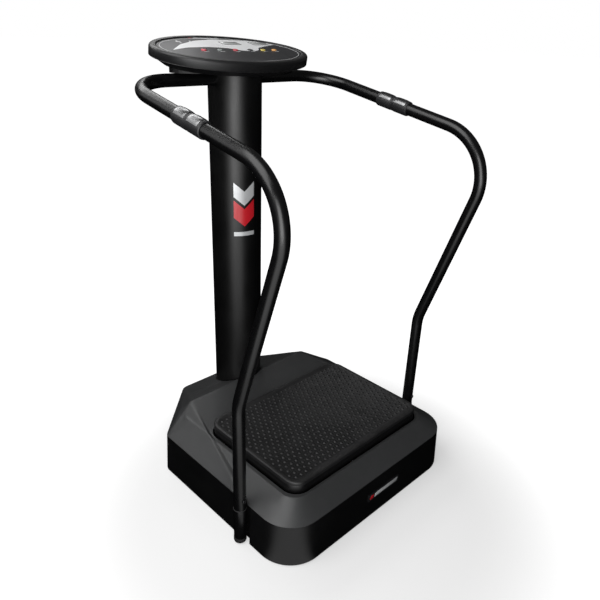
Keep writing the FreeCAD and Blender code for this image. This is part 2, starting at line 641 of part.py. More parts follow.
def build_pivot():
    y_front = BRACKET_YS[0] - 6
    y_rear = BRACKET_YS[1] + BRACKET_THICKNESS + 6
    add("pivot_axle", rod(AXLE_RADIUS, V(0, y_front, PIVOT_HEIGHT), V(0, y_rear, PIVOT_HEIGHT)))
    brackets = []
    for y in BRACKET_YS:
        top = TRAY_FLOOR + BASE_PLATE
        upright = box(-38, 38, y, y + BRACKET_THICKNESS, TRAY_FLOOR + SEAT, PIVOT_HEIGHT)
        head = rod(24, V(0, y, PIVOT_HEIGHT), V(0, y + BRACKET_THICKNESS, PIVOT_HEIGHT))
        foot = box(-60, 60, y, y + 46, TRAY_FLOOR + SEAT, top)
        bracket = fused([upright, head, foot])
        bracket = bracket.cut(rod(AXLE_RADIUS + RUNNING_FIT, V(0, y - 1, PIVOT_HEIGHT),
                                  V(0, y + BRACKET_THICKNESS + 1, PIVOT_HEIGHT)))
        for x in (-48.0, 48.0):
            bolt_y = y + 32
            bracket = bracket.cut(rod(5.2, V(x, bolt_y, top + 1), V(x, bolt_y, TRAY_FLOOR - 1)))
            FLOOR_BOLTS.append(floor_bolt(x, bolt_y))
        brackets.append(bracket)
    add("pivot_brackets", group(brackets))


# ---- Drive: motor, belt, eccentric shaft, connecting rod ----
SHAFT_RADIUS = 9.0
BEARING_OUTER = 20.0
BEARING_WIDTH = 12.0
BEARING_YS = (-80.0, 40.0)
SHAFT_SPAN = (-90.0, 86.0)
ROD_SPAN = (-30.0, -10.0)
MOTOR_SHAFT_RADIUS = 7.0
MOTOR_FRONT = 96.0


def build_drive():
    centre = V(DRIVE_X, 0, DRIVE_HEIGHT)
    along = Y_AXIS
    bracket = [box(DRIVE_X - 42, DRIVE_X + 42, BEARING_YS[0] - 6, BEARING_YS[1] + BEARING_WIDTH + 6,
                   TRAY_FLOOR + SEAT, TRAY_FLOOR + 5)]
    for y in BEARING_YS:
        bracket.append(box(DRIVE_X - 28, DRIVE_X + 28, y, y + BEARING_WIDTH, TRAY_FLOOR + 1,
                           DRIVE_HEIGHT))
        bracket.append(rod(28, centre + along * y, centre + along * (y + BEARING_WIDTH)))
    bracket = fused(bracket)
    bearings = []
    for y in BEARING_YS:
        y0, y1 = centre + along * y, centre + along * (y + BEARING_WIDTH)
        bracket = bracket.cut(rod(BEARING_OUTER + 0.01, y0 - along, y1 + along))
        bearings.append(ring(BEARING_OUTER, SHAFT_RADIUS + RUNNING_FIT, y0, y1))
    shaft = rod(SHAFT_RADIUS, centre + along * SHAFT_SPAN[0], centre + along * SHAFT_SPAN[1])
    offset = centre + Z_AXIS * ECCENTRICITY
    disc = rod(ECCENTRIC_RADIUS, offset + along * (ROD_SPAN[0] - 4), offset + along * (ROD_SPAN[1] + 4))
    weight = Part.makeCylinder(30, 10, centre + along * 6, along, 180)
    weight.rotate(centre, along, 180)
    shaft = fused([shaft, disc, weight])
    half = PULLEY_WIDTH / 2
    pulley = [ring(BIG_PULLEY_RADIUS, BIG_PULLEY_RADIUS - 6, centre + along * (PULLEY_Y - half),
                   centre + along * (PULLEY_Y + half)),
              ring(BIG_PULLEY_RADIUS - 5, SHAFT_RADIUS + 0.01, centre + along * (PULLEY_Y - 3),
                   centre + along * (PULLEY_Y + 3)),
              ring(16, SHAFT_RADIUS + 0.01, centre + along * (PULLEY_Y - half),
                   centre + along * (PULLEY_Y + half))]
    pulley = fused(pulley)
    rod_low, rod_high = ROD_SPAN
    eye_inner = ROD_PIN_RADIUS + ROD_PIN_PLAY
    eye_centre = V(DRIVE_X, 0, ROD_PIN_HEIGHT + ECCENTRICITY)
    big_inner = ECCENTRIC_RADIUS + RUNNING_FIT
    arm = box(DRIVE_X - 9, DRIVE_X + 9, rod_low, rod_high, offset.z, eye_centre.z)
    link = fused([rod(big_inner + 7, offset + along * rod_low, offset + along * rod_high), arm,
                  rod(eye_inner + 5, eye_centre + along * rod_low, eye_centre + along * rod_high)])
    link = link.cut(rod(big_inner, offset + along * (rod_low - 1), offset + along * (rod_high + 1)))
    link = link.cut(rod(eye_inner, eye_centre + along * (rod_low - 1),
                        eye_centre + along * (rod_high + 1)))
    add("drive_bracket", bracket)
    add("shaft_bearings", group(bearings))
    add("eccentric_shaft", shaft)
    add("drive_pulley", pulley)
    add("connecting_rod", link)


def belt_loop(extra):
    """Open belt outline in plan of the pulley plane, drawn around both pulleys."""
    big, small = BIG_PULLEY_RADIUS + extra, SMALL_PULLEY_RADIUS + extra
    gap = DRIVE_X - MOTOR_X
    lean = (big - small) / gap
    across = sqrt(1 - lean * lean)
    y = PULLEY_Y - 7

    def on(cx, radius, side):
        return V(cx - radius * lean, y, DRIVE_HEIGHT + side * radius * across)

    upper = (on(DRIVE_X, big, 1), on(MOTOR_X, small, 1))
    lower = (on(DRIVE_X, big, -1), on(MOTOR_X, small, -1))
    big_far = V(DRIVE_X + big, y, DRIVE_HEIGHT)
    small_far = V(MOTOR_X - small, y, DRIVE_HEIGHT)
    edges = [Part.makeLine(upper[1], upper[0]), Part.Arc(upper[0], big_far, lower[0]).toShape(),
             Part.makeLine(lower[0], lower[1]), Part.Arc(lower[1], small_far, upper[1]).toShape()]
    return Part.Face(Part.Wire(edges)).extrude(V(0, 14, 0))


def build_motor():
    centre = V(MOTOR_X, MOTOR_FRONT, DRIVE_HEIGHT)
    along = Y_AXIS
    can = rod(MOTOR_RADIUS, centre, centre + along * MOTOR_LENGTH)
    can = can.makeFillet(4.0, [can.Edges[0], can.Edges[2]])
    pocket = rod(MOTOR_SHAFT_RADIUS + RUNNING_FIT, centre - along, centre + along * 40)
    fins = []
    for k in range(16):
        angle = radians(k * 22.5)
        out = V(cos(angle), 0, sin(angle))
        fin = box(-1.2, 1.2, 18, MOTOR_LENGTH - 12, MOTOR_RADIUS - 3, MOTOR_RADIUS + 1.5)
        fin.rotate(V(0, 0, 0), Y_AXIS, degrees(atan2(out.x, out.z)))
        fin.translate(centre)
        fins.append(fin)
    motor = fused([can] + fins).cut(pocket)
    mount = fused([box(MOTOR_X - 40, MOTOR_X + 40, MOTOR_FRONT - 5, MOTOR_FRONT - SEAT,
                       TRAY_FLOOR + SEAT, DRIVE_HEIGHT + 40),
                   box(MOTOR_X - 40, MOTOR_X + 40, MOTOR_FRONT - 5, MOTOR_FRONT + 60,
                       TRAY_FLOOR + SEAT, TRAY_FLOOR + 3)])
    mount = mount.cut(rod(14, centre - along * 8, centre + along))
    half = PULLEY_WIDTH / 2
    rotor = rod(MOTOR_SHAFT_RADIUS, V(MOTOR_X, PULLEY_Y - half - 2, DRIVE_HEIGHT), centre + along * 38)
    small = ring(SMALL_PULLEY_RADIUS, MOTOR_SHAFT_RADIUS + 0.01,
                 V(MOTOR_X, PULLEY_Y - half, DRIVE_HEIGHT), V(MOTOR_X, PULLEY_Y + half, DRIVE_HEIGHT))
    add("motor", motor)
    add("motor_mount", mount)
    add("motor_shaft", rotor)
    add("motor_pulley", small)
    add("drive_belt", belt_loop(3.4).cut(belt_loop(0.4)))


# ---- Electrics ----
def build_electrics():
    top = BOARD_HEIGHT + 1.0
    board = [box(130, 250, -120, 0, BOARD_HEIGHT, top + 0.6)]
    board.append(box(150, 180, -110, -60, top, top + 25))
    board.append(rod(12, V(220, -80, top), V(220, -80, top + 32)))
    board.append(rod(12, V(220, -45, top), V(220, -45, top + 32)))
    for k in range(5):
        board.append(box(150 + 7 * k, 153 + 7 * k, -50, -10, top, top + 29))
    board.append(box(148, 184, -50, -10, top, top + 4))
    add("control_board", fused(board))

    wide, high = INLET_HALF
    flange = slab(rounded_rectangle(wide, -high, high, 4.0, 0), 2.5)
    inlet = fused([flange, box(-wide + 1.5, wide - 1.5, -high + 1.5, high - 1.5, -17, 0)])
    inlet = inlet.cut(box(-13, 13, -9, 9, -14, 5))
    for x, y in ((-7.0, -2.0), (0.0, 3.0), (7.0, -2.0)):
        inlet = inlet.fuse(box(x - 1, x + 1, y - 2, y + 2, -15, -1))
    add("power_inlet", on_wall(inlet.removeSplitter(), INLET_X, REAR_FITTINGS_HEIGHT, True))

    half_x, half_z = SWITCH_HALF
    frame = fused([box(-half_x - 2.5, half_x + 2.5, -half_z - 2.5, half_z + 2.5, 0, 2),
                   box(-half_x, half_x, -half_z, half_z, -14, 1)])
    frame = frame.cut(box(-half_x + 1.5, half_x - 1.5, -half_z + 1.5, half_z - 1.5, -10, 5))
    pin_end = X_AXIS * (half_x - 0.3)
    frame = frame.cut(rod(SWITCH_PIN_RADIUS + RUNNING_FIT, X_AXIS * -half_x, X_AXIS * half_x))
    add("switch_frame", on_wall(frame, SWITCH_X, REAR_FITTINGS_HEIGHT, True))
    face = [V(-half_x + 2, -11.5, 1), V(-half_x + 2, 0, 3), V(-half_x + 2, 11.5, 5.2)]
    face += [V(-half_x + 2, 10.5, -3), V(-half_x + 2, 0, -6), V(-half_x + 2, -11.2, -3)]
    rocker = Part.Face(Part.makePolygon(face + [face[0]])).extrude(V(2 * half_x - 4, 0, 0))
    rocker = fused([rocker, rod(SWITCH_PIN_RADIUS, pin_end * -1, pin_end)])
    add("switch_rocker", on_wall(rocker, SWITCH_X, REAR_FITTINGS_HEIGHT, True))


# ---- Console ----
LCD_SPOTS = ((40.0, 66.0), (140.0, 62.0))
LCD_HALF = (27.0, 13.0)
PANEL_THICKNESS = 3.0
BOARD_LOCAL = -17.0


def console_placement():
    turn = FreeCAD.Rotation(X_AXIS, CONSOLE_TILT)
    return FreeCAD.Placement(V(0, CONSOLE_Y, CONSOLE_HEIGHT), turn)


def oval(a, b, z):
    return Part.Wire(Part.Ellipse(V(0, 0, z), a, b).toShape())


def oval_slab(a, b, z0, z1):
    return Part.Face(oval(a, b, z0)).extrude(V(0, 0, z1 - z0))


def build_console():
    placement = console_placement()
    inner_a, inner_b = CONSOLE_A - BEZEL_WIDTH, CONSOLE_B - BEZEL_WIDTH
    bezel = oval_slab(CONSOLE_A, CONSOLE_B, -RIM_BAND, 0)
    bezel = bezel.makeFillet(7.0, [edge for edge in bezel.Edges if edge.BoundBox.ZMin > -0.5])
    bezel = bezel.cut(oval_slab(inner_a, inner_b, -PANEL_RECESS - PANEL_THICKNESS - 0.5, 1))
    bezel = bezel.cut(oval_slab(inner_a - 4, inner_b - 4, -RIM_BAND - 1, 0))
    panel_low = -PANEL_RECESS - PANEL_THICKNESS
    panel = oval_slab(inner_a - 0.3, inner_b - 0.3, panel_low, -PANEL_RECESS)
    windows = []
    for x, y in LCD_SPOTS:
        hole = box(x - LCD_HALF[0], x + LCD_HALF[0], y - LCD_HALF[1], y + LCD_HALF[1], -10, 0)
        panel = panel.cut(hole)
        windows.append(box(x - LCD_HALF[0] + 0.1, x + LCD_HALF[0] - 0.1, y - LCD_HALF[1] + 0.1,
                           y + LCD_HALF[1] - 0.1, panel_low, -PANEL_RECESS - 0.3))
    board = oval_slab(120, 60, BOARD_LOCAL, BOARD_LOCAL + 1.6)
    board.translate(V(20, 30, 0))
    names = ("button_start", "button_programme", "button_stop", "button_time", "button_faster",
             "button_slower")
    for name, x in zip(names, BUTTON_XS):
        spot = V(x, BUTTON_ROW_Y, 0)
        bore = BUTTON_RADIUS + LOOSE_FIT
        panel = panel.cut(rod(bore, spot - Z_AXIS * 10, spot))
        cap = rod(BUTTON_RADIUS, spot + Z_AXIS * (panel_low - 0.6), spot + Z_AXIS * (-0.6))
        cap = cap.makeFillet(1.2, [cap.Edges[0]])
        flange = rod(BUTTON_RADIUS + 2, spot + Z_AXIS * (panel_low - 2.4),
                     spot + Z_AXIS * (panel_low - 0.4))
        stem = rod(2.5, spot + Z_AXIS * (BOARD_LOCAL + 1.6 + BUTTON_TRAVEL + 0.8),
                   spot + Z_AXIS * (panel_low - 1))
        button = fused([cap, flange, stem])
        button.Placement = placement
        add(name, button)
    bowl = lofted(oval(CONSOLE_A - 6, CONSOLE_B - 6, -RIM_BAND - SEAT), oval(200, 114, -42))
    rim_cut = lofted(oval(CONSOLE_A - 9, CONSOLE_B - 9, -RIM_BAND + 1), oval(197, 111, -39.5))
    bowl_world, rim_world = bowl.copy(), rim_cut.copy()
    bowl_world.Placement = placement
    rim_world.Placement = placement
    floor = RAIL_BAR_HEIGHT + TUBE_RADIUS + 1
    neck_solid = slab_oval_world(196, 76, floor, CONSOLE_HEIGHT)
    neck_inner = slab_oval_world(193, 73, floor + 2.5, CONSOLE_HEIGHT + 10)
    lid = oval_slab(CONSOLE_A + 20, CONSOLE_B + 20, -30, 60)
    lid.Placement = placement
    neck_solid = neck_solid.cut(lid)
    outer = bowl_world.fuse(neck_solid)
    back = outer.cut(rim_world).cut(neck_inner)
    hole = rod(COLUMN_RADIUS + 1, V(0, COLUMN_Y, floor - 20), V(0, COLUMN_Y, floor + 10))
    back = back.cut(hole).removeSplitter()
    screws = []
    for k in range(6):
        angle = radians(60 * k + 30)
        spot = V((CONSOLE_A - 14) * cos(angle), (CONSOLE_B - 14) * sin(angle), -RIM_BAND - 3.2)
        screws.append(spot)
    pillars = []
    for spot in screws:
        pillar = ring(5, 1.6, spot + Z_AXIS * 3.6, spot + Z_AXIS * 17)
        pillars.append(pillar)
    add("console_bezel", placed(fused([bezel] + pillars), placement))
    add("console_panel", placed(panel, placement))
    add("console_windows", placed(group(windows), placement))
    add("console_board", placed(board, placement))
    add("console_back", back)


def placed(shape, placement):
    shape.Placement = placement
    return shape


def slab_oval_world(a, b, z0, z1):
    body = Part.Face(oval(a, b, z0)).extrude(V(0, 0, z1 - z0))
    body.translate(V(0, COLUMN_Y, 0))
    return body


def build_console_bracket():
    """Bent steel bracket between the column cap and the console floor."""
    low = COLUMN_TOP + 4 + SEAT
    base = box(-45, 45, COLUMN_Y - 40, COLUMN_Y + 40, low, low + 3)
    profile = []
    for y in (COLUMN_Y - 40, COLUMN_Y + 40):
        rise = (y - CONSOLE_Y) * tan(radians(CONSOLE_TILT))
        profile.append((y, CONSOLE_HEIGHT + rise - 24))
    (y0, z0), (y1, z1) = profile
    points = [V(-45, y0, low), V(-45, y1, low), V(-45, y1, z1), V(-45, y0, z0)]
    cheek = Part.Face(Part.makePolygon(points + [points[0]])).extrude(V(3, 0, 0))
    bracket = fused([base, cheek, mirrored(cheek)])
    bracket = bracket.cut(rod(14, V(0, COLUMN_Y, low - 1), V(0, COLUMN_Y, low + 5)))
    for x in (-30.0, 30.0):
        for y in (COLUMN_Y - 24, COLUMN_Y + 24):
            seat = V(x, y, low + 3 + SEAT)
            bracket = bracket.cut(rod(3.2, seat + Z_AXIS, seat - Z_AXIS * 5))
            PARTS["column_cap"] = PARTS["column_cap"].cut(rod(3.2, seat, seat - Z_AXIS * 14))
            M6_SCREWS.append(m6_screw(seat, V(0, 0, -1)))
    add("console_bracket", bracket)


# ---- Trim ----
LABEL_TURN = 20.0           # the column labels face a little to the left of straight ahead


def build_trim():
    silver = group([stripe(772, 812, 24, 26), stripe(658, 670, 24, 0)])
    red = stripe(712, 762, 24, 26)
    add("column_stripes_silver", silver)
    add("column_stripe_red", red)
    plate = slab(rounded_rectangle(66, -11, 11, 3.0, SEAT), 1.4)
    plate = plate.fuse(box(-60, -44, -7, 7, 1, 1.9)).removeSplitter()
    add("front_badge", on_wall(plate, 19, 66, False))


for build in (build_tray, build_feet, build_skirt, build_top_cover, build_column, build_handrails,
              build_sensors, build_platform, build_pivot, build_drive, build_motor,
              build_electrics, build_console, build_console_bracket, build_trim):
    build()

add("floor_bolts", group(FLOOR_BOLTS))
add("m6_screws", group(M6_SCREWS))

os.makedirs("parts", exist_ok=True)
for name, shape in PARTS.items():
    shape.exportStep("parts/" + name + ".step")
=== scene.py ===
import json
import logging
import math
from dataclasses import dataclass
from enum import Enum
from typing import Callable, Iterable, Mapping, Optional, Sequence

import bmesh
import bpy
from mathutils import Matrix, Vector


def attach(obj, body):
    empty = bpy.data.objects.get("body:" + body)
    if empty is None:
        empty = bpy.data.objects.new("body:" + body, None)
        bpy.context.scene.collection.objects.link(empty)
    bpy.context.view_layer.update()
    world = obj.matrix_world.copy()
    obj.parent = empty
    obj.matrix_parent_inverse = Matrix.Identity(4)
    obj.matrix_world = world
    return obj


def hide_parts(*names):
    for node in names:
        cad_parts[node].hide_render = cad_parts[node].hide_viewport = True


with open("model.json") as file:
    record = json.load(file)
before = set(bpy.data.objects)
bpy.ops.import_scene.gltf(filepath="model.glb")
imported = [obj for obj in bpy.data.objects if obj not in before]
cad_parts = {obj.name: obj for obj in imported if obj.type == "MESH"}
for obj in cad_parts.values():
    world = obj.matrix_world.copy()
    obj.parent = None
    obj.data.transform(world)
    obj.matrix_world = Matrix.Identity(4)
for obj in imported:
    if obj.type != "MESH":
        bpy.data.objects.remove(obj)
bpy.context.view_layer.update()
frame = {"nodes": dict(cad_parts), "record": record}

log = logging.getLogger("vibration_plate")
logging.basicConfig(level=logging.INFO, format="%(message)s")

Colour = tuple[float, float, float]
Point = tuple[float, float, float]
Corners = Sequence[tuple[float, float]]
Tree = bpy.types.NodeTree
Socket = bpy.types.NodeSocket
Sockets = Mapping[str, Socket]

CLOSE = 1e-6      # two heights or points this near, in metres, are one
NEAR = 1e-5       # reach of a weld, and slack of a height test, in metres
HAIR = 1e-4       # share of an edge by which neighbouring facets overlap
PARALLEL = 1e-12  # cross product under which two directions are parallel


# ---------------------------------------------------------------- shader nodes


def add_node(tree: Tree, kind: str, inputs: Optional[dict[str, object]] = None,
             **settings: object) -> bpy.types.Node:
    """Adds a node with its settings and the values of its open inputs.

    Args:
        tree: the tree to add to.
        kind: the node's type.
        inputs: the value of each open input, by its label.
        **settings: the node's own settings.

    Returns:
        The new node.
    """
    node = tree.nodes.new(kind)
    for label, value in settings.items():
        setattr(node, label, value)
    for label, value in (inputs or {}).items():
        node.inputs[label].default_value = value
    return node


def add_noise(tree: Tree, where: Socket, **inputs: float) -> Socket:
    """Adds a noise texture.

    Args:
        tree: the tree to add to.
        where: the place that it reads.
        **inputs: its scale, detail and the like.

    Returns:
        The socket of its value.
    """
    noise = add_node(tree, "ShaderNodeTexNoise", inputs)
    tree.links.new(where, noise.inputs["Vector"])
    return noise.outputs["Fac"]


def add_range(tree: Tree, value: Socket, start: float, end: float, low: float = 0.0,
              high: float = 1.0, blend: str = "LINEAR") -> Socket:
    """Maps a value from one range to another and holds it there.

    Args:
        tree: the tree to add to.
        value: the value's socket.
        start: value that gives the low result.
        end: value that gives the high result.
        low: result at the start.
        high: result at the end.
        blend: kind of interpolation.

    Returns:
        The result's socket.
    """
    inputs = {"From Min": start, "From Max": end, "To Min": low, "To Max": high}
    level = add_node(tree, "ShaderNodeMapRange", inputs, interpolation_type=blend)
    tree.links.new(value, level.inputs["Value"])
    return level.outputs["Result"]


def multiply(tree: Tree, first: Socket, *others: Socket) -> Socket:
    """Multiplies values together.

    Args:
        tree: the tree to add to.
        first: the first value's socket.
        *others: the other values' sockets.

    Returns:
        The product's socket.
    """
    for other in others:
        product = add_node(tree, "ShaderNodeMath", operation="MULTIPLY")
        tree.links.new(first, product.inputs[0])
        tree.links.new(other, product.inputs[1])
        first = product.outputs[0]
    return first


class Effect(Enum):
    """Shader node groups that several finishes share."""

    GRAIN = "fine_grain"
    RIPPLE = "coat_ripple"
    WEAR = "edge_wear"
    DUST = "settled_dust"
    MARKS = "handling_marks"


class EffectShelf:
    """Builds each shared shader node group once and hands it out."""

    def __init__(self) -> None:
        """Starts with no group built."""
        self.groups: dict[Effect, Tree] = {}

    def get(self, effect: Effect) -> Tree:
        """Gives the node group of an effect.

        Args:
            effect: which effect.

        Returns:
            The group's node tree.
        """
        if effect not in self.groups:
            self.groups[effect] = self._build(effect)
        return self.groups[effect]

    def _build(self, effect: Effect) -> Tree:
        """Builds a group: its sockets, and between them the nodes of the effect.

        Args:
            effect: which effect.

        Returns:
            The group's node tree.
        """
        fill, vectors, amount, result = {
            Effect.GRAIN: (self._grain, ["Vector"], "Scale", "Height"),
            Effect.RIPPLE: (self._ripple, ["Vector"], "Scale", "Height"),
            Effect.WEAR: (self._wear, ["Vector", "Normal"], "Amount", "Mask"),
            Effect.DUST: (self._dust, ["Vector", "Normal"], "Amount", "Mask"),
            Effect.MARKS: (self._marks, ["Vector"], "Amount", "Change"),
        }[effect]
        tree = bpy.data.node_groups.new(effect.value, "ShaderNodeTree")
        for label in vectors:
            tree.interface.new_socket(label, in_out="INPUT", socket_type="NodeSocketVector")
        tree.interface.new_socket(amount, in_out="INPUT", socket_type="NodeSocketFloat")
        tree.interface.new_socket(result, in_out="OUTPUT", socket_type="NodeSocketFloat")
        given = tree.nodes.new("NodeGroupInput").outputs
        out = tree.nodes.new("NodeGroupOutput")
        tree.links.new(fill(tree, given), out.inputs[result])
        return tree

    @staticmethod
    def _grain(tree: Tree, given: Sockets) -> Socket:
        """Moulded grain: small round-topped cells broken up by noise.

        Args:
            tree: the group's tree.
            given: the sockets that the material feeds.

        Returns:
            The height's socket.
        """
        cells = add_node(tree, "ShaderNodeTexVoronoi", feature="SMOOTH_F1")
        noise = add_node(tree, "ShaderNodeTexNoise", {"Detail": 3})
        for texture in (cells, noise):
            tree.links.new(given["Vector"], texture.inputs["Vector"])
            tree.links.new(given["Scale"], texture.inputs["Scale"])
        total = add_node(tree, "ShaderNodeMath", operation="ADD")
        tree.links.new(cells.outputs["Distance"], total.inputs[0])
        tree.links.new(noise.outputs["Fac"], total.inputs[1])
        return total.outputs[0]

    @staticmethod
    def _ripple(tree: Tree, given: Sockets) -> Socket:
        """Long soft ripple of sprayed or moulded gloss.

        Args:
            tree: the group's tree.
            given: the sockets that the material feeds.

        Returns:
            The height's socket.
        """
        noise = add_node(tree, "ShaderNodeTexNoise", {"Detail": 1, "Roughness": 0.4})
        tree.links.new(given["Vector"], noise.inputs["Vector"])
        tree.links.new(given["Scale"], noise.inputs["Scale"])
        return noise.outputs["Fac"]

    @staticmethod
    def _wear(tree: Tree, given: Sockets) -> Socket:
        """Rubbed edges: where the rounded normal leaves the true one, in patches.

        Args:
            tree: the group's tree.
            given: the sockets that the material feeds.

        Returns:
            The mask's socket.
        """
        rounded = add_node(tree, "ShaderNodeBevel", {"Radius": 0.0015}, samples=4)
        agree = add_node(tree, "ShaderNodeVectorMath", operation="DOT_PRODUCT")
        tree.links.new(rounded.outputs["Normal"], agree.inputs[0])
        tree.links.new(given["Normal"], agree.inputs[1])
        edge = add_range(tree, agree.outputs["Value"], 0.985, 0.80)
        noise = add_noise(tree, given["Vector"], Scale=60, Detail=5)
        patch = add_range(tree, noise, 0.42, 0.62)
        return multiply(tree, edge, patch, given["Amount"])

    @staticmethod
    def _dust(tree: Tree, given: Sockets) -> Socket:
        """Faint dust that lies on faces that look up.

        Args:
            tree: the group's tree.
            given: the sockets that the material feeds.

        Returns:
            The mask's socket.
        """
        split = tree.nodes.new("ShaderNodeSeparateXYZ")
        tree.links.new(given["Normal"], split.inputs[0])
        level = add_range(tree, split.outputs["Z"], 0.45, 0.98)
        noise = add_noise(tree, given["Vector"], Scale=35, Detail=8, Roughness=0.7)
        return multiply(tree, level, noise, given["Amount"])

    @staticmethod
    def _marks(tree: Tree, given: Sockets) -> Socket:
        """Wiped and touched areas that change the gloss a little.

        Args:
            tree: the group's tree.
            given: the sockets that the material feeds.

        Returns:
            The socket of the change in roughness.
        """
        noise = add_noise(tree, given["Vector"], Scale=9, Detail=6, Distortion=1.2)
        spread = add_range(tree, noise, 0.35, 0.70, -0.5, 1.0)
        return multiply(tree, spread, given["Amount"])


SHELF = EffectShelf()


# ---------------------------------------------------------------- finishes


@dataclass(frozen=True)
class Finish:
    """One surface finish and how its material is put together.

    Heights are in metres, scales in cells per metre.
    """

    name: str
    colour: Colour
    roughness: float
    metallic: float = 0.0
    coat: float = 0.0
    coat_roughness: float = 0.08
    specular: float = 0.5
    second: Optional[Colour] = None
    mottle_scale: float = 40.0
    mottle_detail: float = 4.0
    stretch: tuple[float, float, float] = (1.0, 1.0, 1.0)
    grain_scale: float = 1500.0
    grain: float = 0.0
    ripple_scale: float = 220.0
    ripple: float = 0.0
    wear: float = 0.0
    wear_colour: Colour = (0.12, 0.12, 0.12)
    dust: float = 0.0
    dust_colour: Colour = (0.32, 0.31, 0.30)
    marks: float = 0.05

    def material(self) -> bpy.types.Material:
        """Gives the finish's material, built the first time it is asked for.

        Returns:
            The material.
        """
        found = bpy.data.materials.get(self.name)
        if found is not None:
            return found
        material = bpy.data.materials.new(self.name)
        material.use_nodes = True
        tree = material.node_tree
        shader = tree.nodes["Principled BSDF"]
        shader.inputs["Metallic"].default_value = self.metallic
        shader.inputs["Coat Weight"].default_value = self.coat
        shader.inputs["Coat Roughness"].default_value = self.coat_roughness
        shader.inputs["Specular IOR Level"].default_value = self.specular
        where = tree.nodes.new("ShaderNodeTexCoord").outputs["Object"]
        normal = tree.nodes.new("ShaderNodeNewGeometry").outputs["Normal"]
        tree.links.new(self._colour(tree, where, normal), shader.inputs["Base Color"])
        tree.links.new(self._roughness(tree, where), shader.inputs["Roughness"])
        self._relief(tree, where, shader)
        return material

    @staticmethod
    def _effect(tree: Tree, effect: Effect, links: dict[str, Socket], label: str,
                value: float) -> Socket:
        """Places a shared group in the material.

        Args:
            tree: the material's node tree.
            effect: which shared group.
            links: sockets that feed the group's inputs.
            label: name of its one open input.
            value: that input's value.

        Returns:
            The group's output socket.
        """
        node = add_node(tree, "ShaderNodeGroup", node_tree=SHELF.get(effect))
        node.inputs[label].default_value = value
        for name, socket in links.items():
            tree.links.new(socket, node.inputs[name])
        return node.outputs[0]

    @staticmethod
    def _blend(tree: Tree, mask: Socket, high: Colour) -> tuple[Socket, Socket]:
        """Mixes a colour towards another by a mask.

        Args:
            tree: the material's node tree.
            mask: mixing factor.
            high: colour where the mask is 1.

        Returns:
            The socket for the colour where the mask is 0, and the mixed colour's socket.
        """
        mix = add_node(tree, "ShaderNodeMix", data_type="RGBA")
        factor, low_colour, high_colour = (mix.inputs[i] for i in (0, 6, 7))
        tree.links.new(mask, factor)
        high_colour.default_value = (*high, 1.0)
        return low_colour, mix.outputs[2]

    def _colour(self, tree: Tree, where: Socket, normal: Socket) -> Socket:
        """Base colour with its slow variation, rubbed edges and dust.

        Args:
            tree: the material's node tree.
            where: place on the piece.
            normal: the surface's normal.

        Returns:
            The colour's socket.
        """
        mapping = add_node(tree, "ShaderNodeMapping", {"Scale": self.stretch})
        tree.links.new(where, mapping.inputs["Vector"])
        noise = add_noise(tree, mapping.outputs["Vector"], Scale=self.mottle_scale,
                          Detail=self.mottle_detail)
        second = self.second or tuple(min(1.0, c * 1.25 + 0.0006) for c in self.colour)
        low, colour = self._blend(tree, noise, second)
        low.default_value = (*self.colour, 1.0)
        for effect, amount, tint in ((Effect.WEAR, self.wear, self.wear_colour),
                                     (Effect.DUST, self.dust, self.dust_colour)):
            if amount > 0:
                mask = self._effect(tree, effect, {"Vector": where, "Normal": normal}, "Amount",
                                    amount)
                low, mixed = self._blend(tree, mask, tint)
                tree.links.new(colour, low)
                colour = mixed
        return colour

    def _roughness(self, tree: Tree, where: Socket) -> Socket:
        """Roughness with its touched and wiped areas.

        Args:
            tree: the material's node tree.
            where: place on the piece.

        Returns:
            The roughness's socket.
        """
        change = self._effect(tree, Effect.MARKS, {"Vector": where}, "Amount", self.marks)
        total = add_node(tree, "ShaderNodeMath", operation="ADD", use_clamp=True)
        total.inputs[1].default_value = self.roughness
        tree.links.new(change, total.inputs[0])
        return total.outputs[0]

    def _relief(self, tree: Tree, where: Socket, shader: bpy.types.Node) -> None:
        """Grain and ripple as a bump on the normal.

        Args:
            tree: the material's node tree.
            where: place on the piece.
            shader: the material's shader.
        """
        below = None
        for effect, scale, depth in ((Effect.GRAIN, self.grain_scale, self.grain),
                                     (Effect.RIPPLE, self.ripple_scale, self.ripple)):
            if depth > 0:
                height = self._effect(tree, effect, {"Vector": where}, "Scale", scale)
                bump = add_node(tree, "ShaderNodeBump", {"Distance": depth})
                tree.links.new(height, bump.inputs["Height"])
                if below is not None:
                    tree.links.new(below, bump.inputs["Normal"])
                below = bump.outputs["Normal"]
        if below is not None:
            tree.links.new(below, shader.inputs["Normal"])


GLOSS_BLACK = Finish("skirt_gloss_black", (0.0020, 0.0020, 0.0022), 0.36, ripple=0.00006,
                     wear=0.25, dust=0.02, marks=0.05)
COLUMN_BLACK = Finish("column_gloss_black", (0.0012, 0.0012, 0.0013), 0.36, ripple=0.00005,
                      marks=0.05)
SATIN_GREY = Finish("cover_satin_grey", (0.026, 0.027, 0.028), 0.38, second=(0.032, 0.033, 0.034),
                    mottle_scale=9.0, grain_scale=2600, grain=0.00002, wear=0.25,
                    wear_colour=(0.16, 0.16, 0.16), dust=0.05)
CONSOLE_SHELL = Finish("console_shell_black", (0.006, 0.006, 0.0065), 0.40, grain_scale=2200,
                       grain=0.00002, wear=0.2, dust=0.04)
BLACK_PLASTIC = Finish("grained_black_plastic", (0.010, 0.010, 0.011), 0.46, grain_scale=1800,
                       grain=0.00004, wear=0.3, dust=0.04)
BLACK_PAINT = Finish("black_powder_coat", (0.0020, 0.0020, 0.0022), 0.27, grain_scale=1400,
                     grain=0.00003, wear=0.12, wear_colour=(0.06, 0.06, 0.06), dust=0.01)
RUBBER = Finish("black_rubber", (0.012, 0.012, 0.0125), 0.62, specular=0.35, grain_scale=900,
                grain=0.00006, dust=0.12, marks=0.1)
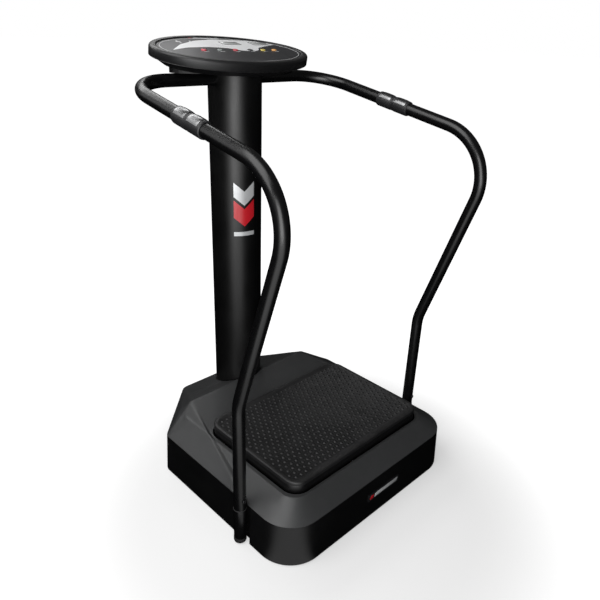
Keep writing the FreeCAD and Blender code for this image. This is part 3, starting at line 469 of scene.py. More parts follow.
MAT_RUBBER = Finish("mat_rubber", (0.0055, 0.0055, 0.006), 0.42, second=(0.013, 0.013, 0.0135),
                    mottle_scale=14.0, grain_scale=700, grain=0.00010, dust=0.035, marks=0.18)
STEEL = Finish("machined_steel", (0.42, 0.43, 0.44), 0.30, 1.0, second=(0.52, 0.53, 0.54),
               mottle_scale=90, stretch=(1.0, 8.0, 1.0), grain_scale=900, grain=0.00002)
ZINC = Finish("zinc_plating", (0.55, 0.56, 0.55), 0.36, 1.0, second=(0.66, 0.67, 0.62),
              mottle_scale=120, grain_scale=900, grain=0.00003)
CHROME = Finish("bright_plating", (0.72, 0.73, 0.74), 0.16, 1.0, second=(0.80, 0.80, 0.81),
                mottle_scale=20, ripple=0.00003, marks=0.10)
CONTACT = Finish("contact_plating", (0.26, 0.262, 0.265), 0.30, 1.0, second=(0.36, 0.362, 0.366),
                 mottle_scale=60, ripple=0.00004, marks=0.16)
BLACK_ZINC = Finish("black_zinc_plating", (0.03, 0.03, 0.032), 0.36, 0.8, mottle_scale=120,
                    grain_scale=900, grain=0.00003)
CAST_ALU = Finish("cast_aluminium", (0.50, 0.51, 0.52), 0.45, 1.0, grain_scale=700, grain=0.0001)
BRONZE = Finish("sintered_bronze", (0.48, 0.34, 0.17), 0.42, 1.0, second=(0.58, 0.42, 0.22),
                mottle_scale=200, grain_scale=1200, grain=0.00004)
BOARD = Finish("circuit_board", (0.010, 0.11, 0.045), 0.40, second=(0.02, 0.20, 0.08),
               mottle_scale=150, stretch=(1.0, 0.1, 1.0), coat=0.3)
PANEL = Finish("printed_overlay", (0.026, 0.026, 0.029), 0.30, second=(0.031, 0.031, 0.034),
               mottle_scale=6, ripple=0.00002, dust=0.02, marks=0.02)
DISPLAY = Finish("display_glass", (0.52, 0.53, 0.525), 0.22, second=(0.58, 0.59, 0.585),
                 mottle_scale=12, coat=0.4, marks=0.04)
SILVER = Finish("silver_foil", (0.50, 0.51, 0.52), 0.32, 0.3, second=(0.66, 0.67, 0.68),
                mottle_scale=10, stretch=(1.0, 1.0, 4.0), ripple=0.00002)
RED = Finish("red_foil", (0.42, 0.006, 0.012), 0.30, second=(0.60, 0.018, 0.028),
             mottle_scale=14, coat=0.3, ripple=0.00002)
LIGHT_PRINT = Finish("light_print", (0.78, 0.785, 0.79), 0.35, second=(0.86, 0.865, 0.87),
                     mottle_scale=7, ripple=0.00001)
DARK_PRINT = Finish("dark_print", (0.010, 0.010, 0.011), 0.35, mottle_scale=8, ripple=0.00001)
BUTTON_RED = Finish("button_red", (0.50, 0.04, 0.06), 0.30, second=(0.60, 0.10, 0.12), coat=0.3,
                    ripple=0.00002, wear=0.2, wear_colour=(0.7, 0.4, 0.4))
BUTTON_GREY = Finish("button_grey", (0.20, 0.225, 0.215), 0.32, coat=0.3, ripple=0.00002,
                     wear=0.2, wear_colour=(0.5, 0.5, 0.5))
BUTTON_BLACK = Finish("button_black", (0.02, 0.02, 0.022), 0.32, coat=0.3, ripple=0.00002,
                      wear=0.2)
BUTTON_YELLOW = Finish("button_yellow", (0.58, 0.46, 0.10), 0.30, coat=0.3, ripple=0.00002,
                       wear=0.2, wear_colour=(0.8, 0.7, 0.4))
BUTTON_ORANGE = Finish("button_orange", (0.66, 0.33, 0.10), 0.30, coat=0.3, ripple=0.00002,
                       wear=0.2, wear_colour=(0.8, 0.6, 0.4))

SLOT_FINISH: dict[str, Finish] = {
    "gloss_black": GLOSS_BLACK,
    "satin_grey": SATIN_GREY,
    "black_plastic": BLACK_PLASTIC,
    "black_paint": BLACK_PAINT,
    "steel": STEEL,
    "zinc": ZINC,
    "chrome": CHROME,
    "rubber": RUBBER,
    "alu": CAST_ALU,
    "bronze": BRONZE,
    "board": BOARD,
    "panel": PANEL,
    "lcd": DISPLAY,
    "silver": SILVER,
    "red": RED,
    "btn_red": BUTTON_RED,
    "btn_grey": BUTTON_GREY,
    "btn_yellow": BUTTON_YELLOW,
    "btn_orange": BUTTON_ORANGE,
}

NODE_FINISH: dict[str, Finish] = {
    "column_tube": COLUMN_BLACK,
    "column_cap": COLUMN_BLACK,
    "console_back": CONSOLE_SHELL,
    "m6_screws": BLACK_ZINC,
}


# ---------------------------------------------------------------- mesh work


def only(items: Iterable[object], kind: type) -> list:
    """Picks the items of one kind out of an operator's result."""
    return [item for item in items if isinstance(item, kind)]


def smooth_step(share: float) -> float:
    """Eases a share from 0 to 1 in and out."""
    return share * share * (3 - 2 * share)


def is_level(edge: bmesh.types.BMEdge) -> bool:
    """Tells whether an edge lies level."""
    return abs(edge.verts[0].co.z - edge.verts[1].co.z) < CLOSE


def is_above(height: float) -> Callable[[bmesh.types.BMEdge], bool]:
    """Makes a test of whether an edge lies above a height."""
    return lambda edge: min(vert.co.z for vert in edge.verts) > height


class Shape:
    """A bmesh and the few operations the pieces are made with."""

    def __init__(self) -> None:
        """Starts empty."""
        self.bm = bmesh.new()

    def outline(self, points: Sequence[Vector], roundings: Sequence[float], steps: int) -> "Shape":
        """Makes a flat face from corners, each rounded off.

        Args:
            points: the corners in order.
            roundings: how far from each corner its rounding starts, in metres.
            steps: segments of each rounding.

        Returns:
            The shape itself.
        """
        corners = [self.bm.verts.new(p) for p in points]
        self.bm.faces.new(corners)
        for corner, setback in zip(corners, roundings):
            if setback > 0:
                bmesh.ops.bevel(self.bm, geom=[corner], offset=setback, offset_type="OFFSET",
                                segments=steps, profile=0.5, affect="VERTICES", material=-1)
        return self

    def rounded_rectangle(self, centre: Vector, half_x: float, half_y: float, radius: float,
                          steps: int = 12) -> "Shape":
        """Makes a flat rounded rectangle.

        Args:
            centre: its middle.
            half_x: half its width.
            half_y: half its depth.
            radius: corner radius.
            steps: segments of each corner.

        Returns:
            The shape itself.
        """
        signs = ((-1, -1), (1, -1), (1, 1), (-1, 1))
        points = [centre + Vector((x * half_x, y * half_y, 0)) for x, y in signs]
        return self.outline(points, [radius] * 4, steps)

    def thicken(self, height: float) -> "Shape":
        """Extrudes the one flat face upwards into a slab.

        Args:
            height: slab thickness, may be negative.

        Returns:
            The shape itself.
        """
        grown = bmesh.ops.extrude_face_region(self.bm, geom=list(self.bm.faces))
        raised = only(grown["geom"], bmesh.types.BMVert)
        bmesh.ops.translate(self.bm, verts=raised, vec=Vector((0, 0, height)))
        return self

    def round_edges(self, keep: Callable[[bmesh.types.BMEdge], bool], width: float,
                    steps: int = 3) -> "Shape":
        """Rounds the edges that a test picks.

        Args:
            keep: test of an edge.
            width: rounding width.
            steps: its segments.

        Returns:
            The shape itself.
        """
        edges = [edge for edge in self.bm.edges if keep(edge)]
        bmesh.ops.bevel(self.bm, geom=edges, offset=width, offset_type="OFFSET", segments=steps,
                        profile=0.5, affect="EDGES", clamp_overlap=True, material=-1)
        return self

    def turned(self, profile: Sequence[tuple[float, float]], steps: int = 64) -> "Shape":
        """Turns a profile of (radius, height) about the Z axis.

        Args:
            profile: points from one end to the other.
            steps: segments of the turn.

        Returns:
            The shape itself.
        """
        verts = [self.bm.verts.new((r, 0, z)) for r, z in profile]
        edges = [self.bm.edges.new(pair) for pair in zip(verts[:-1], verts[1:])]
        bmesh.ops.spin(self.bm, geom=verts + edges, cent=(0, 0, 0), axis=(0, 0, 1),
                       angle=2 * math.pi, steps=steps, use_merge=True)
        bmesh.ops.remove_doubles(self.bm, verts=self.bm.verts, dist=CLOSE)
        return self

    def stacked_ovals(self, rings: Sequence[Point], steps: int) -> "Shape":
        """Bridges ovals in turn, the last one to the first, into a closed ring.

        Args:
            rings: half length, half width and height of each oval in turn.
            steps: points of each oval.

        Returns:
            The shape itself.
        """
        loops = []
        for a, b, z in rings:
            made = bmesh.ops.create_circle(self.bm, cap_ends=False, segments=steps, radius=1.0)
            bmesh.ops.scale(self.bm, verts=made["verts"], vec=(a, b, 1.0))
            bmesh.ops.translate(self.bm, verts=made["verts"], vec=(0, 0, z))
            edges = {edge for vert in made["verts"] for edge in vert.link_edges}
            loops.append(list(edges))
        for low, high in zip(loops, loops[1:] + loops[:1]):
            bmesh.ops.bridge_loops(self.bm, edges=low + high)
        return self

    def sheet(self, across: int, along: int
              ) -> tuple[list[bmesh.types.BMVert], set[bmesh.types.BMVert]]:
        """Adds a flat sheet with two sides, two units square, to be bent into place.

        Args:
            across: its cells across.
            along: its cells along.

        Returns:
            All its vertices, and those of its upper side.
        """
        made = bmesh.ops.create_grid(self.bm, x_segments=across, y_segments=along, size=1.0)
        faces = {face for vert in made["verts"] for face in vert.link_faces}
        grown = bmesh.ops.extrude_face_region(self.bm, geom=list(faces))
        raised = set(only(grown["geom"], bmesh.types.BMVert))
        return list(set(made["verts"]) | raised), raised

    def absorb(self, part: "Shape") -> None:
        """Takes in the mesh of another shape, and frees that shape.

        Args:
            part: the other shape.
        """
        mesh = bpy.data.meshes.new("part")
        part.bm.to_mesh(mesh)
        self.bm.from_mesh(mesh)
        part.bm.free()
        bpy.data.meshes.remove(mesh)

    def moved(self, matrix: Matrix) -> "Shape":
        """Puts the whole shape through a transform.

        Args:
            matrix: the transform.

        Returns:
            The shape itself.
        """
        bmesh.ops.transform(self.bm, matrix=matrix, verts=list(self.bm.verts))
        return self

    def piece(self, name: str, body: str, slot: str, finish: Finish,
              stands_for: Iterable[str] = (), crease: float = 32.0,
              recalculate: bool = True) -> bpy.types.Object:
        """Turns the shape into a finished piece of the object.

        Args:
            name: the piece's name.
            body: the body it rides on.
            slot: the record's material slot; not used.
            finish: its finish.
            stands_for: CAD nodes it replaces.
            crease: angle in degrees past which an edge stays sharp.
            recalculate: makes all faces point outwards.

        Returns:
            The new object.
        """
        if recalculate:
            bmesh.ops.remove_doubles(self.bm, verts=self.bm.verts, dist=CLOSE)
            bmesh.ops.recalc_face_normals(self.bm, faces=list(self.bm.faces))
        mesh = bpy.data.meshes.new(name)
        self.bm.to_mesh(mesh)
        self.bm.free()
        mesh.shade_smooth()
        mesh.set_sharp_from_angle(angle=math.radians(crease))
        obj = bpy.data.objects.new(name, mesh)
        bpy.context.scene.collection.objects.link(obj)
        mesh.materials.append(finish.material())
        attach(obj, body)
        names = list(stands_for)
        if names:
            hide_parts(*names)
        log.info("piece %s: %d faces, rides on %s", name, len(mesh.polygons), body)
        return obj


def add_wall(obj: bpy.types.Object, thickness: float, even: bool) -> None:
    """Gives a skin its wall, on the inside.

    Args:
        obj: the piece.
        thickness: the wall in metres.
        even: keeps the wall even round sharp corners.
    """
    wall = obj.modifiers.new("wall", "SOLIDIFY")
    wall.thickness = thickness
    wall.offset = -1.0
    wall.use_even_offset = even


def add_bevel(obj: bpy.types.Object, width: float, angle: float = 35.0,
              harden: bool = True) -> None:
    """Rounds a piece's sharp edges with a modifier.

    Args:
        obj: the piece.
        width: rounding width in metres.
        angle: edges sharper than this are rounded, in degrees.
        harden: keeps the faces beside the roundings flat.
    """
    bevel = obj.modifiers.new("rounded edges", "BEVEL")
    bevel.width = width
    bevel.segments = 2
    bevel.limit_method = "ANGLE"
    bevel.angle_limit = math.radians(angle)
    bevel.harden_normals = harden


# ---------------------------------------------------------------- base and cover


@dataclass
class TopCover:
    """The satin cover: sloped rim, faceted rear hump, openings for column and platform."""

    half_width: float = 0.334
    front: float = -0.379
    rear: float = 0.319
    low: float = 0.1213
    front_radius: float = 0.092
    chamfer_low: float = 0.4765
    rim_half: float = 0.271
    rim_front: float = -0.327
    rim_rear: float = 0.225
    rim_radius: float = 0.046
    rim_height: float = 0.158
    chamfer_high: float = 0.4129
    rear_radius: float = 0.012
    opening_half: float = 0.261
    opening_front: float = -0.320
    opening_rear: float = 0.046
    opening_radius: float = 0.045
    lip: float = 0.002
    skirting: float = 0.015
    thickness: float = 0.0032
    edge_rounding: float = 0.0009
    hump_start: Point = (0.3328, -0.205, 0.1203)
    hump_side: Point = (0.3328, 0.1415, 0.1203)
    hump_back: Point = (0.157, 0.3178, 0.1203)
    hump_peak: Point = (0.230, 0.167, 0.180)
    hump_saddle: Point = (0.0851, 0.208, 0.163)
    hump_knuckle: Point = (0.262, 0.179, 0.153)
    hump_blend: float = 0.0020
    fold_rise: float = 0.0075
    fold_full: float = 0.75
    fold_fading: float = 0.80
    fold_step: float = 0.012
    fold_least_step: float = 0.001
    column_y: float = 0.228
    column_hole: float = 0.0742
    hole_reach: float = 0.006
    rail_x: float = 0.346
    rail_y: float = -0.211
    rail_clear: float = 0.0182
    steps: int = 480
    corner_steps: int = 16
    slope_rings: int = 26
    flat_rings: int = 34
    centre_y: float = -0.06

    def __post_init__(self) -> None:
        """Works out the triangles of the hump, each once for the whole width."""
        start, side, back, peak, saddle, knuckle = (
            Vector(p) for p in (self.hump_start, self.hump_side, self.hump_back, self.hump_peak,
                                self.hump_saddle, self.hump_knuckle))
        far_start, far_back, far_peak, far_saddle = (
            Vector((-p.x, p.y, p.z)) for p in (start, back, peak, saddle))
        self.facets = (
            (start, side, peak), (peak, saddle, back), (side, knuckle, peak),
            (knuckle, back, peak), (side, back, knuckle), (start, peak, far_peak),
            (start, far_peak, far_start), (peak, saddle, far_saddle),
            (peak, far_saddle, far_peak), (saddle, back, far_back),
            (saddle, far_back, far_saddle))

    def build(self) -> None:
        """Makes the cover and gives it its finish."""
        shape = Shape()
        bm = shape.bm
        outer = self._loop(
            bm, self._six(self.half_width, self.front, self.chamfer_low, self.rear),
            (self.front_radius,) * 2 + (self.rear_radius,) * 4, self.low)
        rim = self._loop(
            bm, self._six(self.rim_half, self.rim_front, self.chamfer_high, self.rim_rear),
            (self.rim_radius,) * 2 + (self.rear_radius,) * 4, self.rim_height)
        mouth = self._loop(bm, self._four(), (self.opening_radius,) * 4, self.rim_height)
        self._bridge(bm, ((outer, rim, self.slope_rings), (rim, mouth, self.flat_rings)))
        for vert in bm.verts:
            hump = self._hump(abs(vert.co.x), vert.co.y)
            vert.co.z = self._smooth_max(vert.co.z, hump, self.hump_blend)
            vert.co.z += self._fold(abs(vert.co.x), vert.co.y)
        inner = [vert for vert in bm.verts if not vert.is_boundary]
        bmesh.ops.smooth_vert(bm, verts=inner, factor=0.5, use_axis_z=True)
        self._roll_mouth(bm, mouth)
        self._open_column(bm)
        self._clear_rails(bm)
        bmesh.ops.recalc_face_normals(bm, faces=list(bm.faces))
        if sum(face.normal.z for face in bm.faces) < 0:
            bmesh.ops.reverse_faces(bm, faces=list(bm.faces))
        cover = shape.piece("top_cover_pressed", "frame", "satin_grey", SATIN_GREY, ["top_cover"],
                            crease=50, recalculate=False)
        add_wall(cover, self.thickness, even=False)
        add_bevel(cover, self.edge_rounding, angle=60, harden=False)

    @staticmethod
    def _six(half: float, front: float, corner_sum: float, rear: float) -> list[Vector]:
        """Gives the corners of an outline whose rear corners are cut off at 45 degrees.

        Args:
            half: half its width.
            front: its front edge.
            corner_sum: x and y of a point on the cut, added.
            rear: its rear edge.

        Returns:
            The corners, anticlockwise from the front left.
        """
        side_y, rear_x = corner_sum - half, corner_sum - rear
        flat = ((-half, front), (half, front), (half, side_y), (rear_x, rear), (-rear_x, rear),
                (-half, side_y))
        return [Vector((x, y, 0)) for x, y in flat]

    def _four(self) -> list[Vector]:
        """Gives the corners of the platform opening.

        Returns:
            The corners, anticlockwise from the front left.
        """
        half, front, rear = self.opening_half, self.opening_front, self.opening_rear
        flat = ((-half, front), (half, front), (half, rear), (-half, rear))
        return [Vector((x, y, 0)) for x, y in flat]

    def _loop(self, bm: bmesh.types.BMesh, corners: Sequence[Vector], radii: Sequence[float],
              height: float) -> list[bmesh.types.BMVert]:
        """Makes a closed loop of evenly turned points on a rounded outline.

        Args:
            bm: the mesh to add to.
            corners: the outline's corners.
            radii: rounding setback of each corner.
            height: the loop's height.

        Returns:
            The loop's vertices in order.
        """
        flat = Shape().outline(corners, radii, self.corner_steps)
        ring = [vert.co.copy() for vert in next(iter(flat.bm.faces)).verts]
        flat.bm.free()
        centre = Vector((0, self.centre_y, 0))
        verts = []
        for k in range(self.steps):
            angle = 2 * math.pi * (k + 0.5) / self.steps
            heading = Vector((math.cos(angle), math.sin(angle), 0))
            spot = centre + heading * self._reach(ring, centre, heading)
            verts.append(bm.verts.new((spot.x, spot.y, height)))
        for pair in zip(verts, verts[1:] + verts[:1]):
            bm.edges.new(pair)
        return verts

    @staticmethod
    def _reach(ring: Sequence[Vector], centre: Vector, heading: Vector) -> float:
        """Finds how far an outline lies from a point inside it.

        Args:
            ring: the outline's points.
            centre: the point inside.
            heading: direction to look in.

        Returns:
            The distance.
        """
        best = 0.0
        for a, b in zip(ring, ring[1:] + ring[:1]):
            edge = b - a
            cross = heading.x * edge.y - heading.y * edge.x
            if abs(cross) < PARALLEL:
                continue
            to_a = a - centre
            reach = (to_a.x * edge.y - to_a.y * edge.x) / cross
            share = (to_a.x * heading.y - to_a.y * heading.x) / cross
            if reach > best and -CLOSE <= share <= 1 + CLOSE:
                best = reach
        return best

    @staticmethod
    def _bridge(bm: bmesh.types.BMesh, spans: Sequence[tuple]) -> None:
        """Bridges pairs of loops and cuts each bridge into rings.

        Args:
            bm: the mesh.
            spans: outer loop, inner loop and the number of rings to cut in.
        """
        rungs = []
        for low, high, cuts in spans:
            edges = [bm.edges.get(pair) for loop in (low, high)
                     for pair in zip(loop, loop[1:] + loop[:1])]
            made = bmesh.ops.bridge_loops(bm, edges=edges)
            members = set(edges)
            rungs.append(([edge for edge in made["edges"] if edge not in members], cuts))
        for edges, cuts in rungs:
            bmesh.ops.subdivide_edges(bm, edges=edges, cuts=cuts, use_grid_fill=True)

    @staticmethod
    def _smooth_max(a: float, b: float, radius: float) -> float:
        """Gives the larger of two heights, blended where they are close.

        Args:
            a: one height.
            b: the other.
            radius: difference below which they blend.

        Returns:
            The height.
        """
        gap = max(radius - abs(a - b), 0.0) / radius
        return max(a, b) + gap * gap * radius * 0.25

    def _hump(self, x: float, y: float) -> float:
        """Gives the height of the hump's facets.

        Args:
            x: distance from the middle plane.
            y: place along the machine.

        Returns:
            The height, or 0 outside the hump.
        """
        best = 0.0
        for a, b, c in self.facets:
            area = (b.x - a.x) * (c.y - a.y) - (c.x - a.x) * (b.y - a.y)
            u = ((x - a.x) * (c.y - a.y) - (c.x - a.x) * (y - a.y)) / area
            w = ((b.x - a.x) * (y - a.y) - (x - a.x) * (b.y - a.y)) / area
            if u >= -HAIR and w >= -HAIR and u + w <= 1 + HAIR:
                best = max(best, a.z + u * (b.z - a.z) + w * (c.z - a.z))
        return best

    def _fold(self, x: float, y: float) -> float:
        """Gives the extra height of the side facet, which stands proud along its front edge.

        Args:
            x: distance from the middle plane.
            y: place along the machine.

        Returns:
            The height to add.
        """
        top, foot = Vector(self.hump_peak[:2]), Vector(self.hump_start[:2])
        along = (foot - top).normalized()
        offset = Vector((x, y)) - top
        reach = offset.dot(along) / (foot - top).length
        if not 0.0 < reach < 1.0:
            return 0.0
        grow = min(reach / self.fold_full, 1.0)
        fade = max((reach - self.fold_fading) / (1.0 - self.fold_fading), 0.0)
        proud = self.fold_rise * smooth_step(grow) * (1 - smooth_step(fade))
        beside = offset.y * along.x - offset.x * along.y
        if beside < 0:
            step = self.fold_step * grow + self.fold_least_step
            return proud * max(1 + beside / step, 0.0)
        crease = top.x + (foot.x - top.x) * (y - top.y) / (foot.y - top.y)
        return proud * max((self.half_width - x) / (self.half_width - crease), 0.0)

    def _roll_mouth(self, bm: bmesh.types.BMesh, mouth: Sequence[bmesh.types.BMVert]) -> None:
        """Raises a small rolled lip round the platform opening and turns it down inside.

        Args:
            bm: the mesh.
            mouth: the opening's loop.
        """
        members = set(mouth)
        edges = [edge for edge in bm.edges if set(edge.verts) <= members]
        middle = Vector((0, (self.opening_front + self.opening_rear) / 2))
        for rise, inwards in ((self.lip * 0.7, 0.0003), (self.lip * 0.3, 0.0008),
                              (-self.lip * 0.3, 0.0008), (-self.lip, 0.0004),
                              (-self.skirting, 0.0)):
            grown = bmesh.ops.extrude_edge_only(bm, edges=edges)
            edges = only(grown["geom"], bmesh.types.BMEdge)
            for vert in only(grown["geom"], bmesh.types.BMVert):
                towards = (middle - vert.co.xy).normalized()
                vert.co += Vector((towards.x * inwards, towards.y * inwards, rise))

    def _open_column(self, bm: bmesh.types.BMesh) -> None:
        """Cuts the round hole that the column stands in.

        Args:
            bm: the mesh.
        """
        axis = Vector((0, self.column_y))
        doomed = [face for face in bm.faces
                  if (face.calc_center_median().xy - axis).length < self.column_hole]
        bmesh.ops.delete(bm, geom=doomed, context="FACES")
        for vert in bm.verts:
            away = vert.co.xy - axis
            near = vert.is_boundary and away.length < self.column_hole + self.hole_reach
            if near or away.length < self.column_hole:
                vert.co.xy = axis + away.normalized() * self.column_hole

    def _clear_rails(self, bm: bmesh.types.BMesh) -> None:
        """Pushes the edge in around each handrail post.

        Args:
            bm: the mesh.
        """
        for vert in bm.verts:
            side = 1 if vert.co.x > 0 else -1
            offset = Vector((vert.co.x - side * self.rail_x, vert.co.y - self.rail_y))
            if offset.length < self.rail_clear:
                inwards = math.sqrt(max(self.rail_clear ** 2 - offset.y ** 2, 0))
                vert.co.x = side * (self.rail_x - inwards)


@dataclass
class Skirt:
    """The gloss black lower shell with a recess behind each handrail post."""

    half: float = 0.340
    front: float = -0.385
    rear: float = 0.325
    low: float = 0.004
    high: float = 0.1206
    draft: float = 0.006
    chamfer_start: float = 0.145
    front_radius: float = 0.098
    side_radius: float = 0.030
    recess_y: float = -0.211
    recess_half: float = 0.028
    recess_depth: float = 0.012
    recess_radius: float = 0.0012
    wall: float = 0.003
    edge_rounding: float = 0.0008
    corner_steps: int = 20

    def build(self) -> None:
        """Makes the shell between its lower outline and the one drawn in by the draft."""
        shape = Shape()
        bm = shape.bm
        for inset, height in ((0.0, self.low), (self.draft, self.high)):
            corners, radii = self._corners(inset)
            shape.outline([Vector((x, y, height)) for x, y in corners], radii, self.corner_steps)
        bmesh.ops.delete(bm, geom=list(bm.faces), context="FACES_ONLY")
        bmesh.ops.bridge_loops(bm, edges=list(bm.edges))
        bmesh.ops.recalc_face_normals(bm, faces=list(bm.faces))
        if sum(face.normal.dot(face.calc_center_median()) for face in bm.faces) < 0:
            bmesh.ops.reverse_faces(bm, faces=list(bm.faces))
        skirt = shape.piece("skirt_moulded", "frame", "gloss_black", GLOSS_BLACK,
                            ["skirt_cover"], crease=30, recalculate=False)
        add_wall(skirt, self.wall, even=True)
        add_bevel(skirt, self.edge_rounding, angle=50)

    def _corners(self, inset: float) -> tuple[list[tuple[float, float]], list[float]]:
        """Works out the outline at one height.

        Args:
            inset: how far the walls have come in.

        Returns:
            The corners, anticlockwise from the front right, and their roundings.
        """
        half = self.half - inset
        side_sum = self.half + self.chamfer_start - inset * math.sqrt(2)
        side_y, rear = side_sum - half, self.rear - inset
        deep = self.half - self.recess_depth
        y0, y1 = self.recess_y - self.recess_half, self.recess_y + self.recess_half
        turn = (self.side_radius - inset) * math.tan(math.radians(22.5))
        right = [(half, self.front + inset), (half, y0), (deep, y0), (deep, y1), (half, y1),
                 (half, side_y), (side_sum - rear, rear)]
        soft = [self.front_radius - inset, *[self.recess_radius] * 4, turn, turn]
        left = [(-x, y) for x, y in reversed(right)]
        return right + left, soft + list(reversed(soft))


@dataclass
class Platform:
    """The tilting platform: moulded deck with a studded rubber mat."""

    half: float = 0.256
    front: float = -0.315
    rear: float = 0.041
    radius: float = 0.040
    bottom: float = 0.15502
    deck_top: float = 0.179
    mat_top: float = 0.189
    mat_clearance: float = 0.0003
    deck_rounding: float = 0.0015
    mat_rounding: float = 0.0042
    border: float = 0.009
    border_slope: float = 0.0015
    field_depth: float = 0.0009
    stud_pitch: float = 0.0175
    row_share: float = 0.866
    stud_radius: float = 0.0046
    stud_taper: float = 0.62
    stud_height: float = 0.0013
    stud_margin: float = 0.019

    def build(self) -> None:
        """Makes the deck and the mat."""
        middle = Vector((0, (self.front + self.rear) / 2, 0))
        depth = (self.rear - self.front) / 2
        low = middle + Vector((0, 0, self.bottom))
        deck = Shape().rounded_rectangle(low, self.half, depth, self.radius, 16)
        deck.thicken(self.deck_top - self.bottom - self.mat_clearance)
        deck.round_edges(is_level, self.deck_rounding, 2)
        deck.piece("platform_deck_moulded", "platform", "black_plastic", GLOSS_BLACK,
                   ["platform_deck"])
        low = middle + Vector((0, 0, self.deck_top))
        mat = Shape().rounded_rectangle(low, self.half, depth, self.radius, 16)
        mat.thicken(self.mat_top - self.deck_top)
        mat.round_edges(is_above(self.mat_top - NEAR), self.mat_rounding, 5)
        self._border(mat)
        self._studs(mat, middle, depth)
        mat.piece("platform_mat_studded", "platform", "rubber", MAT_RUBBER, ["platform_mat"],
                  crease=55, recalculate=False)

    def _border(self, mat: Shape) -> None:
        """Sinks the field of the mat a little inside a smooth border.

        Args:
            mat: the mat.
        """
        top = [face for face in mat.bm.faces if face.normal.z > 0.99 and len(face.verts) > 20]
        for width, depth in ((self.border, 0.0), (self.border_slope, -self.field_depth)):
            bmesh.ops.inset_region(mat.bm, faces=top, thickness=width, depth=depth)

    def _studs(self, mat: Shape, middle: Vector, depth: float) -> None:
        """Sets rows of low round studs, every other row shifted by half a pitch.

        Args:
            mat: the mat.
            middle: the middle of the platform.
            depth: half its depth.
        """
        row_pitch = self.stud_pitch * self.row_share
        height = self.mat_top - self.field_depth + self.stud_height / 2
        across = int(self.half * 2 / self.stud_pitch)
        rows = int(depth * 2 / row_pitch)
        for j in range(-rows // 2, rows // 2 + 1):
            shift = self.stud_pitch / 2 if j % 2 else 0.0
            for i in range(-across // 2, across // 2 + 1):
                x, y = i * self.stud_pitch + shift, j * row_pitch
                if not self._inside(x, y, depth):
                    continue
                made = bmesh.ops.create_cone(mat.bm, cap_ends=True, cap_tris=False, segments=10,
                                             radius1=self.stud_radius,
                                             radius2=self.stud_radius * self.stud_taper,
                                             depth=self.stud_height)
                spot = middle + Vector((x, y, height))
                bmesh.ops.translate(mat.bm, verts=made["verts"], vec=spot)

    def _inside(self, x: float, y: float, depth: float) -> bool:
        """Tells whether a stud lies well inside the mat's border.

        Args:
            x: the stud's place across the mat, from its middle.
            y: its place along the mat.
            depth: half the mat's depth.

        Returns:
            True where the stud fits.
        """
        room = self.radius - self.stud_margin
        dx = abs(x) - (self.half - self.radius)
        dy = abs(y) - (depth - self.radius)
        if dx > 0 and dy > 0:
            return math.hypot(dx, dy) < room
        return dx < room and dy < room


# ---------------------------------------------------------------- column and rails


@dataclass(frozen=True)
class Label:
    """One label on the column: heights of its corners, and how far its middle hangs down."""

    low: float
    high: float
    slope: float = 0.0
    half_angle: float = 24.0


@dataclass
class Column:
    """The round column and the labels on its front."""

    y: float = 0.228
    radius: float = 0.07275
    wall: float = 0.0025
    end_rounding: float = 0.0006
    bottom: float = 0.0242
    top: float = 1.100
    label_turn: float = -20.0
    label_thickness: float = 0.00058
    label_gap: float = 0.00001
    silver_labels: tuple[Label, ...] = (Label(0.772, 0.812, 0.026), Label(0.658, 0.670))
    red_labels: tuple[Label, ...] = (Label(0.712, 0.762, 0.026),)

    def build(self) -> None:
        """Makes the column tube and its labels."""
        inner, soft = self.radius - self.wall, self.end_rounding
        tube = Shape().turned([(inner, self.bottom), (self.radius - soft, self.bottom),
                               (self.radius, self.bottom + soft),
                               (self.radius, (self.bottom + self.top) / 2),
                               (self.radius, self.top - soft),
                               (self.radius - soft, self.top), (inner, self.top),
                               (inner, self.bottom)], 128)
        tube.moved(Matrix.Translation((0, self.y, 0)))
        tube.piece("column_tube_round", "frame", "gloss_black", COLUMN_BLACK, ["column_tube"])
        self._labels("column_labels_silver", self.silver_labels, "silver", SILVER,
                     "column_stripes_silver")
        self._labels("column_label_red", self.red_labels, "red", RED, "column_stripe_red")

    def _labels(self, name: str, labels: Sequence[Label], slot: str, finish: Finish,
                node: str) -> None:
        """Makes the labels of one colour.

        Args:
            name: the piece's name.
            labels: its labels.
            slot: material slot.
            finish: its finish.
            node: the CAD node that it replaces.
        """
        shape = Shape()
        for label in labels:
            self._label(shape, label)
        shape.piece(name, "frame", slot, finish, [node])

    def _label(self, shape: Shape, label: Label) -> None:
        """Wraps one label round the column.

        Args:
            shape: shape to add to.
            label: the label.
        """
        verts, raised = shape.sheet(40, 4)
        for vert in verts:
            u, v = vert.co.x, vert.co.y
            turn = math.radians(label.half_angle * u + self.label_turn)
            reach = self.radius + (self.label_thickness if vert in raised else self.label_gap)
            drop = label.slope * (1 - abs(math.sin(math.radians(label.half_angle) * u))
                                  / math.sin(math.radians(label.half_angle)))
            height = (label.low + label.high) / 2 + v * (label.high - label.low) / 2 - drop
            vert.co = Vector((math.sin(turn) * reach, self.y - math.cos(turn) * reach, height))


